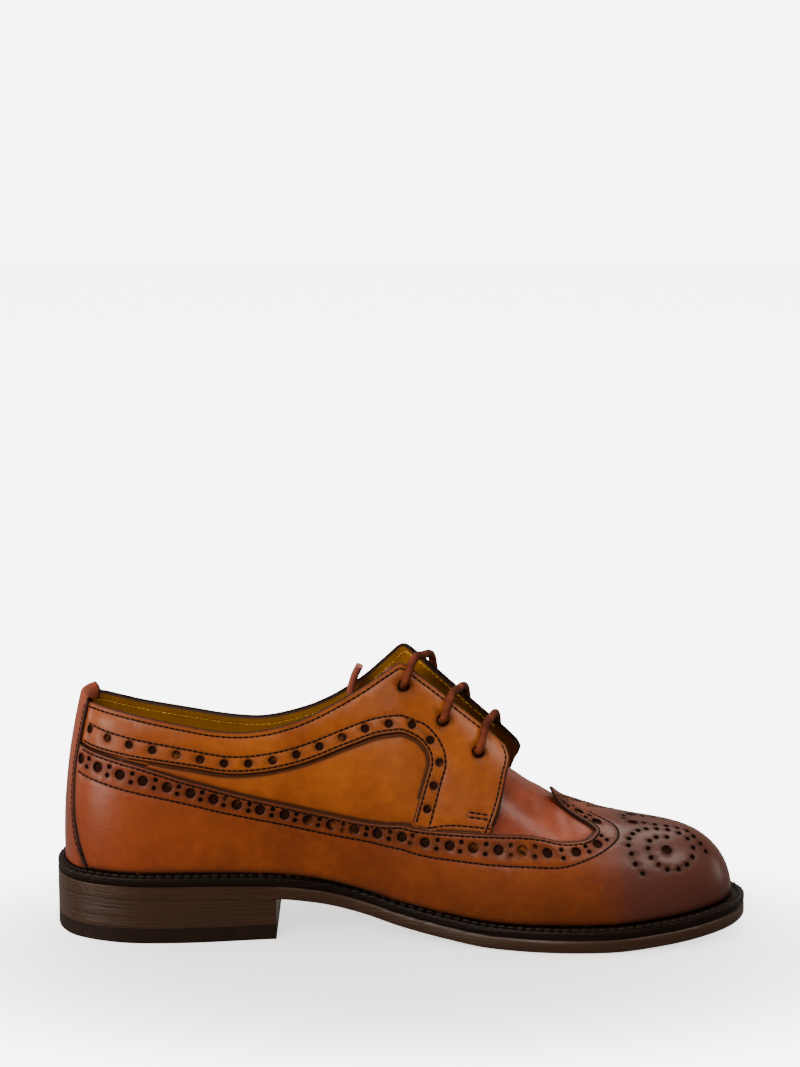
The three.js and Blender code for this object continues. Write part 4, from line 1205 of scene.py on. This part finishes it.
def heel_layer(name, bottom, top, material, slot, node):
    """A lift with flat faces; the highest one follows the sole's curve"""
    level = []
    for inset, share in ((0.01, 0), (0, 0.02), (0, 0.25), (0, 0.75), (0, 0.98), (0.01, 1)):
        spots = heel_outline(inset)
        upper_limit = seat(spots[:, 0]) + sole_bottom - 0.05
        z_top = np.minimum(top, upper_limit) if top > STACK_TOP - 0.1 else np.full(len(spots), top)
        level.append(placed(spots, bottom + (z_top - bottom) * share))
    return dress(ringed(name, level, False), [material], slot, node)


HEEL_EDGE = dark_edge("burnished_heel", colour(36, 20, 11), colour(43, 25, 15))
RUBBER = plain("heel_rubber", colour(26, 16, 11), 0.5)
heel_layer("top_piece", 0, TOP_PIECE, RUBBER, "heel_rubber", "heel_top_piece")
for i in range(LIFT_COUNT):
    low = TOP_PIECE + i * LIFT_THICKNESS
    high = low + LIFT_THICKNESS if i < LIFT_COUNT - 1 else HEEL_HEIGHT
    heel_layer(f"lift_{i + 1}", low, high, HEEL_EDGE, "sole_leather", f"heel_lift_{i + 1}")


# Insole: the footbed that the last stood on, smooth lining leather over the filling, glued in. It
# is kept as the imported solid.
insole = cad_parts["insole"]
insole.data.materials.clear()
insole.data.materials.append(LINING)


# Setting: a pale paper floor that runs up into a near-white background, with broad soft lights
# round the shoe and a soft shadow under it, painted into the floor's glow.
def studio():
    """Bright sheet behind and below, its glow dimmed round the shoe like a soft shadow"""
    for name, corners in (
            ("floor", [(-6, -0.32, 0), (6, -0.32, 0), (6, 2.2, 0), (-6, 2.2, 0)]),
            ("backdrop", [(-6, 2.2, 0), (6, 2.2, 0), (6, 2.2, 6), (-6, 2.2, 6)])):
        pale = Finish(f"pale_{name}")
        glow = (0.98, 0.98, 1, 1)
        if name == "floor":
            across, deep = pale.axis("X") * (1 / 0.24), (pale.axis("Y") + 0.04) * (1 / 0.15)
            shade = (1 - across * across - deep * deep).between(0, 0.95)
            glow = pale.mix(shade, glow, (0.24, 0.232, 0.23, 1))
        pale.show(colour=(0.5, 0.5, 0.5, 1), rough=0.8, glow=glow, glow_strength=6)
        sheet = mesh_piece(name, corners, [(0, 1, 2, 3)])
        sheet.data.materials.append(pale.made)
        sheet.location.z = -0.0001
        sheet.visible_glossy = False
        sheet.visible_diffuse = False
    world = bpy.data.worlds.new("studio")
    world.use_nodes = True
    world.node_tree.nodes["Background"].inputs["Color"].default_value = (1, 0.9, 0.78, 1)
    world.node_tree.nodes["Background"].inputs["Strength"].default_value = 0.42
    bpy.context.scene.world = world
    for name, place, power, size in (
            ("window", (-0.7, -1.5, 1.3), 46, 0.8), ("overhead", (0.1, 0.6, 1.7), 46, 1.4),
            ("heel_side", (-1.3, -0.85, 0.24), 20, 0.55), ("toe_side", (0.95, -0.5, 1.35), 14, 0.5),
            ("behind_heel", (-1.5, 0.25, 0.3), 7, 0.5), ("behind_toe", (1.5, 0.25, 0.3), 4, 0.5)):
        data = bpy.data.lights.new(name, "AREA")
        data.energy, data.size, data.color = power, size, (1, 0.94, 0.86)
        lamp = bpy.data.objects.new(name, data)
        lamp.location = place
        lamp.rotation_euler = (Vector((0, 0, 0.05)) - Vector(place)).to_track_quat("-Z", "Y").to_euler()
        bpy.context.scene.collection.objects.link(lamp)


studio()
